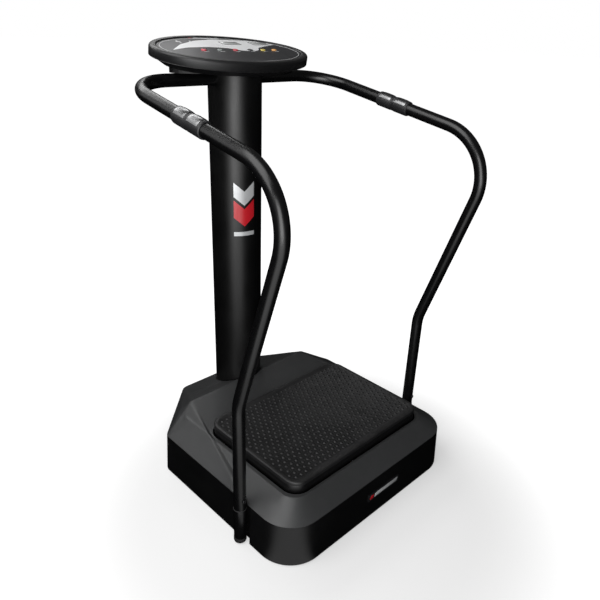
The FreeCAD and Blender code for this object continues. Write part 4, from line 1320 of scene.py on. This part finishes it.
@dataclass
class Handrails:
    """Two bent tubes with pulse grips on their upper runs."""

    tube: float = 0.016
    points: tuple[Point, ...] = (
        (0.002, 0.228, 1.077), (0.326, 0.228, 1.077), (0.345, -0.386, 0.958),
        (0.346, -0.211, 0.418), (0.346, -0.211, 0.111))
    bends: tuple[float, ...] = (0.120, 0.138, 0.140)
    bend_step: float = 3.5
    around: int = 40
    grip_y: float = -0.054
    grip_length: float = 0.104
    grip_wall: float = 0.0035
    grip_clearance: float = 0.0003
    waist_half: float = 0.0050
    waist_depth: float = 0.0007
    waist_slope: float = 0.0012
    plate_end: float = 0.008
    plate_gap: float = 0.006
    plate_half_angle: float = 65.0
    plate_crown: float = 0.0010
    plate_lift: float = 0.0001
    plate_sink: float = 0.0002

    def build(self) -> None:
        """Makes both rails, their grip housings and the contact plates."""
        for side, word in ((1, "right"), (-1, "left")):
            rail = Shape()
            self._run(rail.bm)
            rail.moved(self._mirror(side))
            rail.piece(f"handrail_{word}_bent", "frame", "black_paint", BLACK_PAINT,
                       [f"handrail_{word}"], crease=40)
            self._grip(side, word)
        self._plates()

    @staticmethod
    def _mirror(side: int) -> Matrix:
        """Keeps a right-hand shape where it is, or mirrors it to the left for side -1."""
        return Matrix.Scale(side, 4, Vector((1, 0, 0)))

    def _run(self, bm: bmesh.types.BMesh) -> None:
        """Sweeps a ring along the rail: straight runs by extrusion, bends by spinning.

        Args:
            bm: the mesh.
        """
        points = [Vector(p) for p in self.points]
        heading = (points[1] - points[0]).normalized()
        made = bmesh.ops.create_circle(bm, cap_ends=False, segments=self.around, radius=self.tube)
        turn = Vector((0, 0, 1)).rotation_difference(heading).to_matrix().to_4x4()
        bmesh.ops.transform(bm, matrix=Matrix.Translation(points[0]) @ turn, verts=made["verts"])
        first = list({edge for vert in made["verts"] for edge in vert.link_edges})
        ring, here = first, points[0]
        for before_point, corner, after_point, bend in zip(points, points[1:], points[2:],
                                                           self.bends):
            before = (corner - before_point).normalized()
            after = (after_point - corner).normalized()
            angle = before.angle(after)
            setback = bend * math.tan(angle / 2)
            ring = self._forward(bm, ring, corner - before * setback - here)
            here = corner - before * setback
            axis = before.cross(after).normalized()
            centre = here + axis.cross(before).normalized() * bend
            steps = max(8, int(math.degrees(angle) / self.bend_step))
            made = bmesh.ops.spin(bm, geom=ring, cent=centre, axis=axis, dvec=(0, 0, 0),
                                  angle=angle, steps=steps)
            ring = only(made["geom_last"], bmesh.types.BMEdge)
            here = corner + after * setback
        last = self._forward(bm, ring, points[-1] - here)
        for loop in (first, last):
            bmesh.ops.contextual_create(bm, geom=loop)

    @staticmethod
    def _forward(bm: bmesh.types.BMesh, ring: Sequence[bmesh.types.BMEdge],
                 way: Vector) -> list[bmesh.types.BMEdge]:
        """Extrudes a ring straight on.

        Args:
            bm: the mesh.
            ring: the ring's edges.
            way: how far and where to.

        Returns:
            The new ring's edges.
        """
        grown = bmesh.ops.extrude_edge_only(bm, edges=list(ring))
        verts = only(grown["geom"], bmesh.types.BMVert)
        bmesh.ops.translate(bm, verts=verts, vec=way)
        members = set(verts)
        return [edge for edge in only(grown["geom"], bmesh.types.BMEdge)
                if set(edge.verts) <= members]

    def _place(self, side: int) -> Matrix:
        """Gives the placement of a grip: Z runs along the tube, X faces upwards.

        Args:
            side: 1 for the right-hand rail, -1 for the left-hand one.

        Returns:
            The placement.
        """
        rear, front = Vector(self.points[1]), Vector(self.points[2])
        share = (rear.y - self.grip_y) / (rear.y - front.y)
        along = (front - rear).normalized()
        up = (Vector((0, 0, 1)) - along * along.z).normalized()
        turn = Matrix((up, along.cross(up), along)).transposed().to_4x4()
        return self._mirror(side) @ Matrix.Translation(rear + (front - rear) * share) @ turn

    def _grip(self, side: int, word: str) -> None:
        """Makes one grip housing, with rounded ends and a narrow waist in the middle.

        Args:
            side: 1 for the right-hand rail, -1 for the left-hand one.
            word: right or left.
        """
        half = self.grip_length / 2
        outer, bore = self.tube + self.grip_wall, self.tube + self.grip_clearance
        end = [(outer, half - 0.0042), (outer - 0.0006, half - 0.0016), (outer - 0.0024, half),
               (bore, half)]
        waist = [(outer, self.waist_half + self.waist_slope),
                 (outer - self.waist_depth, self.waist_half)]
        upper = waist[::-1] + end
        lower = [(r, -z) for r, z in reversed(upper)]
        grip = Shape().turned(lower + upper + lower[:1], 56)
        grip.moved(self._place(side))
        grip.piece(f"pulse_housing_{word}_moulded", "frame", "black_plastic", BLACK_PLASTIC,
                   [f"pulse_housing_{word}"])

    def _plates(self) -> None:
        """Makes the bright contact plates on top of both grips."""
        far = self.grip_length / 2 - self.plate_end
        plates = Shape()
        for side in (1, -1):
            for low, high in ((-far, -self.plate_gap), (self.plate_gap, far)):
                self._plate(plates, side, low, high)
        plates.piece("pulse_plates_bright", "frame", "chrome", CONTACT, ["pulse_plates"], crease=45)

    def _plate(self, plates: Shape, side: int, low: float, high: float) -> None:
        """Makes one contact plate: a curved shell crowned along its length.

        Args:
            plates: shape to add to.
            side: 1 for the right-hand rail, -1 for the left-hand one.
            low: where it starts along the grip.
            high: where it ends.
        """
        verts, raised = plates.sheet(24, 10)
        for vert in verts:
            u, v = vert.co.x, vert.co.y
            angle = math.radians(self.plate_half_angle * u)
            crown = self.plate_crown * (1 - v ** 4) * (1 - u ** 6)
            lift = self.plate_lift + crown if vert in raised else -self.plate_sink
            reach = self.tube + self.grip_wall + lift
            vert.co = Vector((math.cos(angle) * reach, math.sin(angle) * reach,
                              (low + high) / 2 + v * (high - low) / 2))
        bmesh.ops.transform(plates.bm, matrix=self._place(side), verts=verts)


# ---------------------------------------------------------------- console


def box_corners(x: float, y: float, half_x: float, half_y: float, slant: float = 0.0) -> Corners:
    """Gives the corners of a printed bar, anticlockwise from the lower left.

    Args:
        x: its middle.
        y: its middle.
        half_x: half its length.
        half_y: half its width.
        slant: how much shorter its upper edge is at each end.

    Returns:
        The corners.
    """
    top = half_x - slant
    return [(x - half_x, y - half_y), (x + half_x, y - half_y), (x + top, y + half_y),
            (x - top, y + half_y)]


@dataclass
class Console:
    """The tilted oval console with its printed panel, displays and buttons."""

    centre: Point = (0.0, 0.2331, 1.150)
    tilt: float = 10.3
    a: float = 0.235
    b: float = 0.150
    band: float = 0.024
    rim_radius: float = 0.0072
    bezel: float = 0.018
    recess: float = 0.003
    seat: float = 0.003
    print_gap: float = 0.00002
    print_lift: float = 0.00025
    frame_layers: float = 1.6
    window_spots: tuple[tuple[float, float], ...] = ((0.040, 0.066), (0.140, 0.062))
    window_half: tuple[float, float] = (0.027, 0.013)
    window_height: float = 0.0038
    window_clearance: float = 0.0001
    window_border: float = 0.0032
    button_radius: float = 0.007
    button_y: float = -0.010
    button_flange: float = 0.002
    stem_radius: float = 0.0025
    stem_end: float = -0.0134
    buttons: tuple[tuple[str, float, str, Finish], ...] = (
        ("button_start", -0.100, "btn_red", BUTTON_RED),
        ("button_programme", -0.050, "btn_grey", BUTTON_GREY),
        ("button_stop", 0.000, "btn_red", BUTTON_RED),
        ("button_time", 0.050, "black_plastic", BUTTON_BLACK),
        ("button_faster", 0.095, "btn_yellow", BUTTON_YELLOW),
        ("button_slower", 0.135, "btn_orange", BUTTON_ORANGE))
    notch_x: float = 0.050
    notch_radius: float = 0.0088
    crescent_low: tuple[tuple[float, float], ...] = (
        (-0.190, -0.008), (-0.130, 0.018), (-0.060, 0.024), (-0.005, 0.012), (0.024, -0.016))
    crescent_high: tuple[tuple[float, float], ...] = (
        (0.074, -0.017), (0.100, 0.016), (0.150, 0.038), (0.190, 0.052), (0.160, 0.082),
        (0.095, 0.103), (0.010, 0.110), (-0.060, 0.092), (-0.130, 0.050))
    crescent_rounding: float = 0.010
    mark_drop: float = 0.0135
    mark_half: tuple[float, float] = (0.007, 0.0008)
    figures_x: tuple[float, ...] = (-0.117, -0.076)
    figures_y: float = 0.0755
    figure_half_y: float = 0.003
    figure_bars: tuple[tuple[float, float], ...] = (
        (0.012, 0.0028), (0.004, 0.0065), (-0.008, 0.0024))
    bar_y: float = 0.1225
    bar_half: tuple[float, float] = (0.046, 0.003)
    bar_slant: float = 0.006
    line_inset: float = 0.0080
    line_width: float = 0.0010
    line_lift: float = 0.0003

    def build(self) -> None:
        """Makes the bezel, the print, the displays and the buttons."""
        self._bezel()
        self._print()
        self._guide_line()
        self._windows()
        for name, x, slot, finish in self.buttons:
            self._button(name, x, slot, finish)

    def _place(self) -> Matrix:
        """Gives the console's placement in the frame."""
        turn = Matrix.Rotation(math.radians(self.tilt), 4, "X")
        return Matrix.Translation(self.centre) @ turn

    def _bezel(self) -> None:
        """Makes the rounded oval rim."""
        r, inner, low = self.rim_radius, self.bezel, -self.band
        turns = [math.radians(15 * k) for k in range(1, 7)]
        rings = [(0.0, low), (0.0004, low + 0.0006), (0.0, low + 0.0014), (0.0, -r)]
        rings += [(r - r * math.cos(turn), -r + r * math.sin(turn)) for turn in turns]
        rings += [(inner - 0.0026, -0.0001), (inner - 0.0012, -0.0004),
                  (inner - 0.0003, -0.0014), (inner, -0.0030), (inner, -0.0063),
                  (inner + 0.004, -0.0066), (inner + 0.004, low + 0.0004)]
        rim = self._ovals(rings, 192)
        rim.piece("console_bezel_rounded", "frame", "black_plastic", CONSOLE_SHELL,
                  ["console_bezel"], crease=40)

    def _ovals(self, rings: Sequence[tuple[float, float]], steps: int) -> Shape:
        """Makes a ring of ovals inside the console's outline.

        Args:
            rings: how far inside the outline, and how high, each oval lies.
            steps: points of each oval.

        Returns:
            The shape, in place.
        """
        ovals = [(self.a - inset, self.b - inset, z) for inset, z in rings]
        return Shape().stacked_ovals(ovals, steps).moved(self._place())

    def _decal(self, name: str, finish: Finish, slot: str,
               outlines: Sequence[tuple[Corners, Sequence[float]]], layers: float = 1.0) -> None:
        """Lays printed areas on the panel as very thin slabs.

        Args:
            name: the piece's name.
            finish: print finish.
            slot: material slot.
            outlines: corners of each printed area, and their roundings.
            layers: print thickness in layers.
        """
        whole = Shape()
        for corners, roundings in outlines:
            points = [Vector((x, y, -self.recess + self.print_gap)) for x, y in corners]
            whole.absorb(Shape().outline(points, roundings, 8).thicken(self.print_lift * layers))
        whole.moved(self._place())
        whole.piece(name, "frame", slot, finish)

    def _print(self) -> None:
        """Makes the print on the panel: crescent, display frames, marks and the bar."""
        turns = [math.radians(angle) for angle in range(230, -51, -14)]
        notch = [(self.notch_x + self.notch_radius * math.cos(turn),
                  self.button_y + self.notch_radius * math.sin(turn)) for turn in turns]
        crescent = [*self.crescent_low, *notch, *self.crescent_high]
        soft = ([self.crescent_rounding] * len(self.crescent_low) + [0.0] * len(notch)
                + [self.crescent_rounding] * len(self.crescent_high))
        self._decal("panel_print_light", LIGHT_PRINT, "silver", [(crescent, soft)])
        half_x, half_y = (half + self.window_border for half in self.window_half)
        frames = [(box_corners(x, y, half_x, half_y), [0.003] * 4) for x, y in self.window_spots]
        self._decal("panel_print_frames", DARK_PRINT, "panel", frames, self.frame_layers)
        marks = [(box_corners(x, self.button_y - self.mark_drop, *self.mark_half), [0.0005] * 4)
                 for _, x, _, _ in self.buttons]
        marks += [(box_corners(x, self.figures_y + rise, half, self.figure_half_y), [0.0018] * 4)
                  for x in self.figures_x for rise, half in self.figure_bars]
        marks.append((box_corners(0.0, self.bar_y, *self.bar_half, self.bar_slant), [0.001] * 4))
        self._decal("panel_print_marks", LIGHT_PRINT, "silver", marks)
        low, high = self.bar_y - self.bar_half[1], self.bar_y + self.bar_half[1]
        accent = [(-0.060, low), (-0.050, low), (-0.045, high), (-0.055, high)]
        self._decal("panel_print_red", RED, "red", [(accent, [0.0006] * 4)])

    def _guide_line(self) -> None:
        """Makes the thin light line that follows the bezel."""
        outer = self.bezel + self.line_inset
        inner = outer + self.line_width
        low = -self.recess + self.print_gap
        high = low + self.line_lift
        line = self._ovals([(outer, low), (outer, high), (inner, high - 0.00001),
                            (inner, low + 0.00001)], 160)
        line.piece("panel_print_line", "frame", "silver", LIGHT_PRINT)

    def _windows(self) -> None:
        """Makes the two display windows with a rounded rim."""
        windows = Shape()
        low = -self.recess - self.seat
        half_x, half_y = (half - self.window_clearance for half in self.window_half)
        for x, y in self.window_spots:
            window = Shape().rounded_rectangle(Vector((x, y, low)), half_x, half_y, 0.0012, 4)
            window.thicken(self.window_height)
            windows.absorb(window.round_edges(is_above(low + self.seat), 0.0003, 2))
        windows.moved(self._place())
        windows.piece("display_windows", "frame", "lcd", DISPLAY, ["console_windows"])

    def _button(self, name: str, x: float, slot: str, finish: Finish) -> None:
        """Makes one domed button with its flange and stem.

        Args:
            name: the CAD node it stands for, which is also its body.
            x: its place along the row.
            slot: material slot.
            finish: its finish.
        """
        r, flange = self.button_radius, self.button_radius + self.button_flange
        low = -self.recess - self.seat
        profile = [(0.0, self.stem_end), (self.stem_radius, self.stem_end),
                   (self.stem_radius, low - 0.0024), (flange, low - 0.0024),
                   (flange, low - 0.0004), (r, low - 0.0004), (r, -0.0020),
                   (r - 0.0003, -0.0013), (r - 0.0010, -0.0008), (r - 0.0022, -0.0006),
                   (r * 0.45, -0.0009), (0.0, -0.0011)]
        button = Shape().turned(profile, 48)
        button.moved(self._place() @ Matrix.Translation((x, self.button_y, 0)))
        button.piece(f"{name}_domed", name, slot, finish, [name])


# ---------------------------------------------------------------- trim


@dataclass
class Badge:
    """The plain name plate on the front wall: bright bar with a red accent."""

    x: float = 0.019
    z: float = 0.066
    half_x: float = 0.066
    half_z: float = 0.011
    gap: float = 0.00004
    thickness: float = 0.0010
    corner_radius: float = 0.003
    bar_half: float = 0.0052
    bar_slant: float = 0.005
    bar_height: float = 0.0008
    accent_span: tuple[float, float] = (-0.058, -0.046)
    bar_span: tuple[float, float] = (-0.040, 0.056)
    wall_front: float = -0.385
    draft: float = 0.006
    wall_low: float = 0.004
    wall_high: float = 0.121

    def build(self) -> None:
        """Makes the plate, its raised bars and the accent."""
        plate = Shape().rounded_rectangle(Vector((0, 0, self.gap)), self.half_x, self.half_z,
                                          self.corner_radius, 8)
        plate.thicken(self.thickness)
        plate.round_edges(is_above(self.thickness - 0.0001), 0.0003, 2)
        plate.moved(self._place())
        plate.piece("front_badge_plate", "frame", "silver", DARK_PRINT, ["front_badge"])
        self._bar("front_badge_accent", RED, "red", self.accent_span)
        self._bar("front_badge_bar", SILVER, "silver", self.bar_span)

    def _bar(self, name: str, finish: Finish, slot: str, span: tuple[float, float]) -> None:
        """Makes one raised slanted bar on the plate.

        Args:
            name: the piece's name.
            finish: its finish.
            slot: material slot.
            span: where its lower edge starts and ends.
        """
        (x0, x1), low, high = span, -self.bar_half, self.bar_half
        flat = ((x0, low), (x1, low), (x1 + self.bar_slant, high), (x0 + self.bar_slant, high))
        points = [Vector((x, y, self.thickness)) for x, y in flat]
        bar = Shape().outline(points, [0.0008] * 4, 4).thicken(self.bar_height)
        bar.round_edges(is_above(self.thickness + self.bar_height - 0.0001), 0.0002, 2)
        bar.moved(self._place())
        bar.piece(name, "frame", slot, finish)

    def _place(self) -> Matrix:
        """Works out the placement on the leaning front wall.

        Returns:
            The placement.
        """
        wall_height = self.wall_high - self.wall_low
        lean = math.atan2(self.draft, wall_height)
        inset = self.draft * (self.z - self.wall_low) / wall_height
        turn = Matrix.Rotation(math.pi / 2 - lean, 4, "X")
        return Matrix.Translation((self.x, self.wall_front + inset, self.z)) @ turn


@dataclass
class CadDressing:
    """Gives the CAD nodes that stay visible their finishes and rounded edges."""

    soft_edge: float = 0.0007
    machined_edge: float = 0.0004
    machined: tuple[str, ...] = ("zinc", "steel", "board")

    def build(self) -> None:
        """Dresses every CAD node, and rounds the ones that no new piece replaces."""
        slots = {part["node"]: part["material_slot"] for part in frame["record"]["subparts"]}
        for name, node in frame["nodes"].items():
            slot = slots.get(name, "black_plastic")
            finish = NODE_FINISH.get(name, SLOT_FINISH[slot])
            node.data.materials.clear()
            node.data.materials.append(finish.material())
            if node.hide_render:
                continue
            weld = node.modifiers.new("joined", "WELD")
            weld.merge_threshold = NEAR
            add_bevel(node, self.machined_edge if slot in self.machined else self.soft_edge)
            log.info("node %s: %s", name, finish.name)


# ---------------------------------------------------------------- studio


@dataclass(frozen=True)
class Softbox:
    """One soft area light: where it hangs, the point it faces, its two sides, its power."""

    name: str
    at: Point
    aim: Point
    size: tuple[float, float]
    watts: float

    def hang(self) -> None:
        """Adds the light to the scene."""
        data = bpy.data.lights.new(self.name, "AREA")
        data.shape = "RECTANGLE"
        data.size, data.size_y = self.size
        data.energy = self.watts
        lamp = bpy.data.objects.new(self.name, data)
        lamp.location = self.at
        facing = Vector(self.aim) - Vector(self.at)
        lamp.rotation_euler = facing.to_track_quat("-Z", "Y").to_euler()
        lamp.visible_camera = False
        bpy.context.scene.collection.objects.link(lamp)


@dataclass
class Studio:
    """Pale floor, soft lights and the camera."""

    camera_at: Point = (-1.04135, -1.09676, 1.20760)
    azimuth: float = -44.84
    pitch: float = 24.90
    roll: float = 2.09
    lens: float = 35.361
    sky: float = 0.05
    floor_half: float = 40.0
    floor_grey: float = 0.50
    shadow_at: Point = (-0.12, -0.24, 0.0)
    shadow_reach: tuple[float, float] = (0.42, 0.95)
    shadow_glow: tuple[float, float] = (0.46, 1.0)
    pool_at: Point = (-0.242, -0.287, 0.0)
    pool_heading: Point = (-0.69, -0.724, 0.0)
    pool_spread: tuple[float, float] = (0.68, 0.93)
    pool_reach: tuple[float, float] = (0.25, 0.90)
    pool_glow: tuple[float, float] = (0.55, 1.5)
    softboxes: tuple[Softbox, ...] = (
        Softbox("overhead softbox", (-1.4, 0.0, 2.3), (-0.2, -0.1, 0.2), (1.7, 2.2), 40.0),
        Softbox("camera side softbox", (-2.2, -2.35, 1.0), (0.0, 0.1, 0.5), (1.9, 2.6), 74.0),
        Softbox("left rear fill", (-1.7, 1.8, 1.9), (-0.1, 0.1, 0.2), (1.4, 1.4), 5.0),
        Softbox("rear top strip", (0.2, 2.3, 2.7), (0.0, 0.0, 1.0), (2.6, 0.7), 22.0))

    def build(self) -> None:
        """Sets up everything round the object."""
        self._camera()
        self._world()
        self._floor()
        for softbox in self.softboxes:
            softbox.hang()

    def _camera(self) -> None:
        """Places the camera."""
        data = bpy.data.cameras.new("camera")
        data.lens = self.lens
        data.sensor_width = 36.0
        data.sensor_fit = "HORIZONTAL"
        data.clip_start = 0.01
        az, pitch, roll = (math.radians(v) for v in (self.azimuth, self.pitch, self.roll))
        forward = Vector((-math.sin(az) * math.cos(pitch), math.cos(az) * math.cos(pitch),
                          -math.sin(pitch)))
        right = Vector((math.cos(az), math.sin(az), 0))
        up = right.cross(forward)
        rolled_right = right * math.cos(roll) + up * math.sin(roll)
        rolled_up = up * math.cos(roll) - right * math.sin(roll)
        turn = Matrix((rolled_right, rolled_up, -forward)).transposed().to_4x4()
        camera = bpy.data.objects.new("camera", data)
        camera.matrix_world = Matrix.Translation(self.camera_at) @ turn
        bpy.context.scene.collection.objects.link(camera)
        bpy.context.scene.camera = camera

    @staticmethod
    def _seen_or_else(tree: Tree, seen: Socket, unseen: Socket) -> Socket:
        """Shows one shader to the camera and another to everything else.

        Args:
            tree: the tree to add to.
            seen: the camera's shader.
            unseen: the other one.

        Returns:
            The mixed shader's socket.
        """
        mix = tree.nodes.new("ShaderNodeMixShader")
        path = tree.nodes.new("ShaderNodeLightPath")
        tree.links.new(path.outputs["Is Camera Ray"], mix.inputs["Fac"])
        tree.links.new(unseen, mix.inputs[1])
        tree.links.new(seen, mix.inputs[2])
        return mix.outputs[0]

    def _world(self) -> None:
        """Makes white surroundings to look at, and a dim even sky for light and gloss."""
        world = bpy.data.worlds.new("studio")
        world.use_nodes = True
        tree = world.node_tree
        tree.nodes.clear()
        white = (1, 1, 1, 1)
        seen = add_node(tree, "ShaderNodeBackground", {"Color": white})
        lit = add_node(tree, "ShaderNodeBackground", {"Color": white, "Strength": self.sky})
        out = tree.nodes.new("ShaderNodeOutputWorld")
        result = self._seen_or_else(tree, seen.outputs[0], lit.outputs[0])
        tree.links.new(result, out.inputs["Surface"])
        bpy.context.scene.world = world

    def _floor(self) -> None:
        """Makes a large pale floor, dark in the machine's gloss but for a pool of light."""
        shape = Shape()
        bmesh.ops.create_grid(shape.bm, x_segments=1, y_segments=1, size=self.floor_half)
        mesh = bpy.data.meshes.new("floor")
        shape.bm.to_mesh(mesh)
        shape.bm.free()
        floor = bpy.data.objects.new("floor", mesh)
        bpy.context.scene.collection.objects.link(floor)
        mesh.materials.append(self._floor_material())

    def _floor_material(self) -> bpy.types.Material:
        """Makes the floor's material.

        Returns:
            The material.
        """
        material = bpy.data.materials.new("floor_pale")
        material.use_nodes = True
        tree = material.node_tree
        tree.nodes.clear()
        pale = add_node(tree, "ShaderNodeBsdfDiffuse", {"Color": (*(self.floor_grey,) * 3, 1)})
        glow = tree.nodes.new("ShaderNodeEmission")
        tree.links.new(self._far_white(tree), glow.inputs["Strength"])
        pool = tree.nodes.new("ShaderNodeEmission")
        tree.links.new(self._light_pool(tree), pool.inputs["Strength"])
        together = tree.nodes.new("ShaderNodeAddShader")
        tree.links.new(pale.outputs[0], together.inputs[0])
        tree.links.new(glow.outputs[0], together.inputs[1])
        out = tree.nodes.new("ShaderNodeOutputMaterial")
        result = self._seen_or_else(tree, together.outputs[0], pool.outputs[0])
        tree.links.new(result, out.inputs["Surface"])
        return material

    @staticmethod
    def _from_point(tree: Tree, point: Point) -> Socket:
        """Gives the way from a point to each place on the floor.

        Args:
            tree: the floor's node tree.
            point: the point.

        Returns:
            The vector's socket.
        """
        shift = add_node(tree, "ShaderNodeVectorMath", operation="SUBTRACT")
        shift.inputs[1].default_value = point
        where = tree.nodes.new("ShaderNodeTexCoord")
        tree.links.new(where.outputs["Object"], shift.inputs[0])
        return shift.outputs["Vector"]

    @staticmethod
    def _length(tree: Tree, vector: Socket) -> Socket:
        """Measures a vector.

        Args:
            tree: the floor's node tree.
            vector: the vector's socket.

        Returns:
            The length's socket.
        """
        length = add_node(tree, "ShaderNodeVectorMath", operation="LENGTH")
        tree.links.new(vector, length.inputs[0])
        return length.outputs["Value"]

    def _far_white(self, tree: Tree) -> Socket:
        """Makes the floor glow that grows to white away from the machine.

        Args:
            tree: the floor's node tree.

        Returns:
            The socket of its strength.
        """
        away = self._length(tree, self._from_point(tree, self.shadow_at))
        return add_range(tree, away, *self.shadow_reach, *self.shadow_glow, "SMOOTHSTEP")

    def _light_pool(self, tree: Tree) -> Socket:
        """Makes the wedge of light on the floor in front of the left front corner.

        Args:
            tree: the floor's node tree.

        Returns:
            The socket of its strength.
        """
        way = self._from_point(tree, self.pool_at)
        unit = add_node(tree, "ShaderNodeVectorMath", operation="NORMALIZE")
        tree.links.new(way, unit.inputs[0])
        ahead = add_node(tree, "ShaderNodeVectorMath", operation="DOT_PRODUCT")
        ahead.inputs[1].default_value = self.pool_heading
        tree.links.new(unit.outputs["Vector"], ahead.inputs[0])
        wedge = add_range(tree, ahead.outputs["Value"], *self.pool_spread, blend="SMOOTHSTEP")
        rise = add_range(tree, self._length(tree, way), *self.pool_reach, *self.pool_glow,
                         "SMOOTHSTEP")
        return multiply(tree, wedge, rise)


def main() -> None:
    """Builds the machine piece by piece, then the studio."""
    for assembly in (TopCover(), Skirt(), Platform(), Column(), Handrails(), Console(), Badge(),
                     CadDressing()):
        assembly.build()
        log.info("%s done", type(assembly).__name__)
    Studio().build()
    bpy.context.scene.view_settings.view_transform = "Standard"


if __name__ == "__main__":
    main()
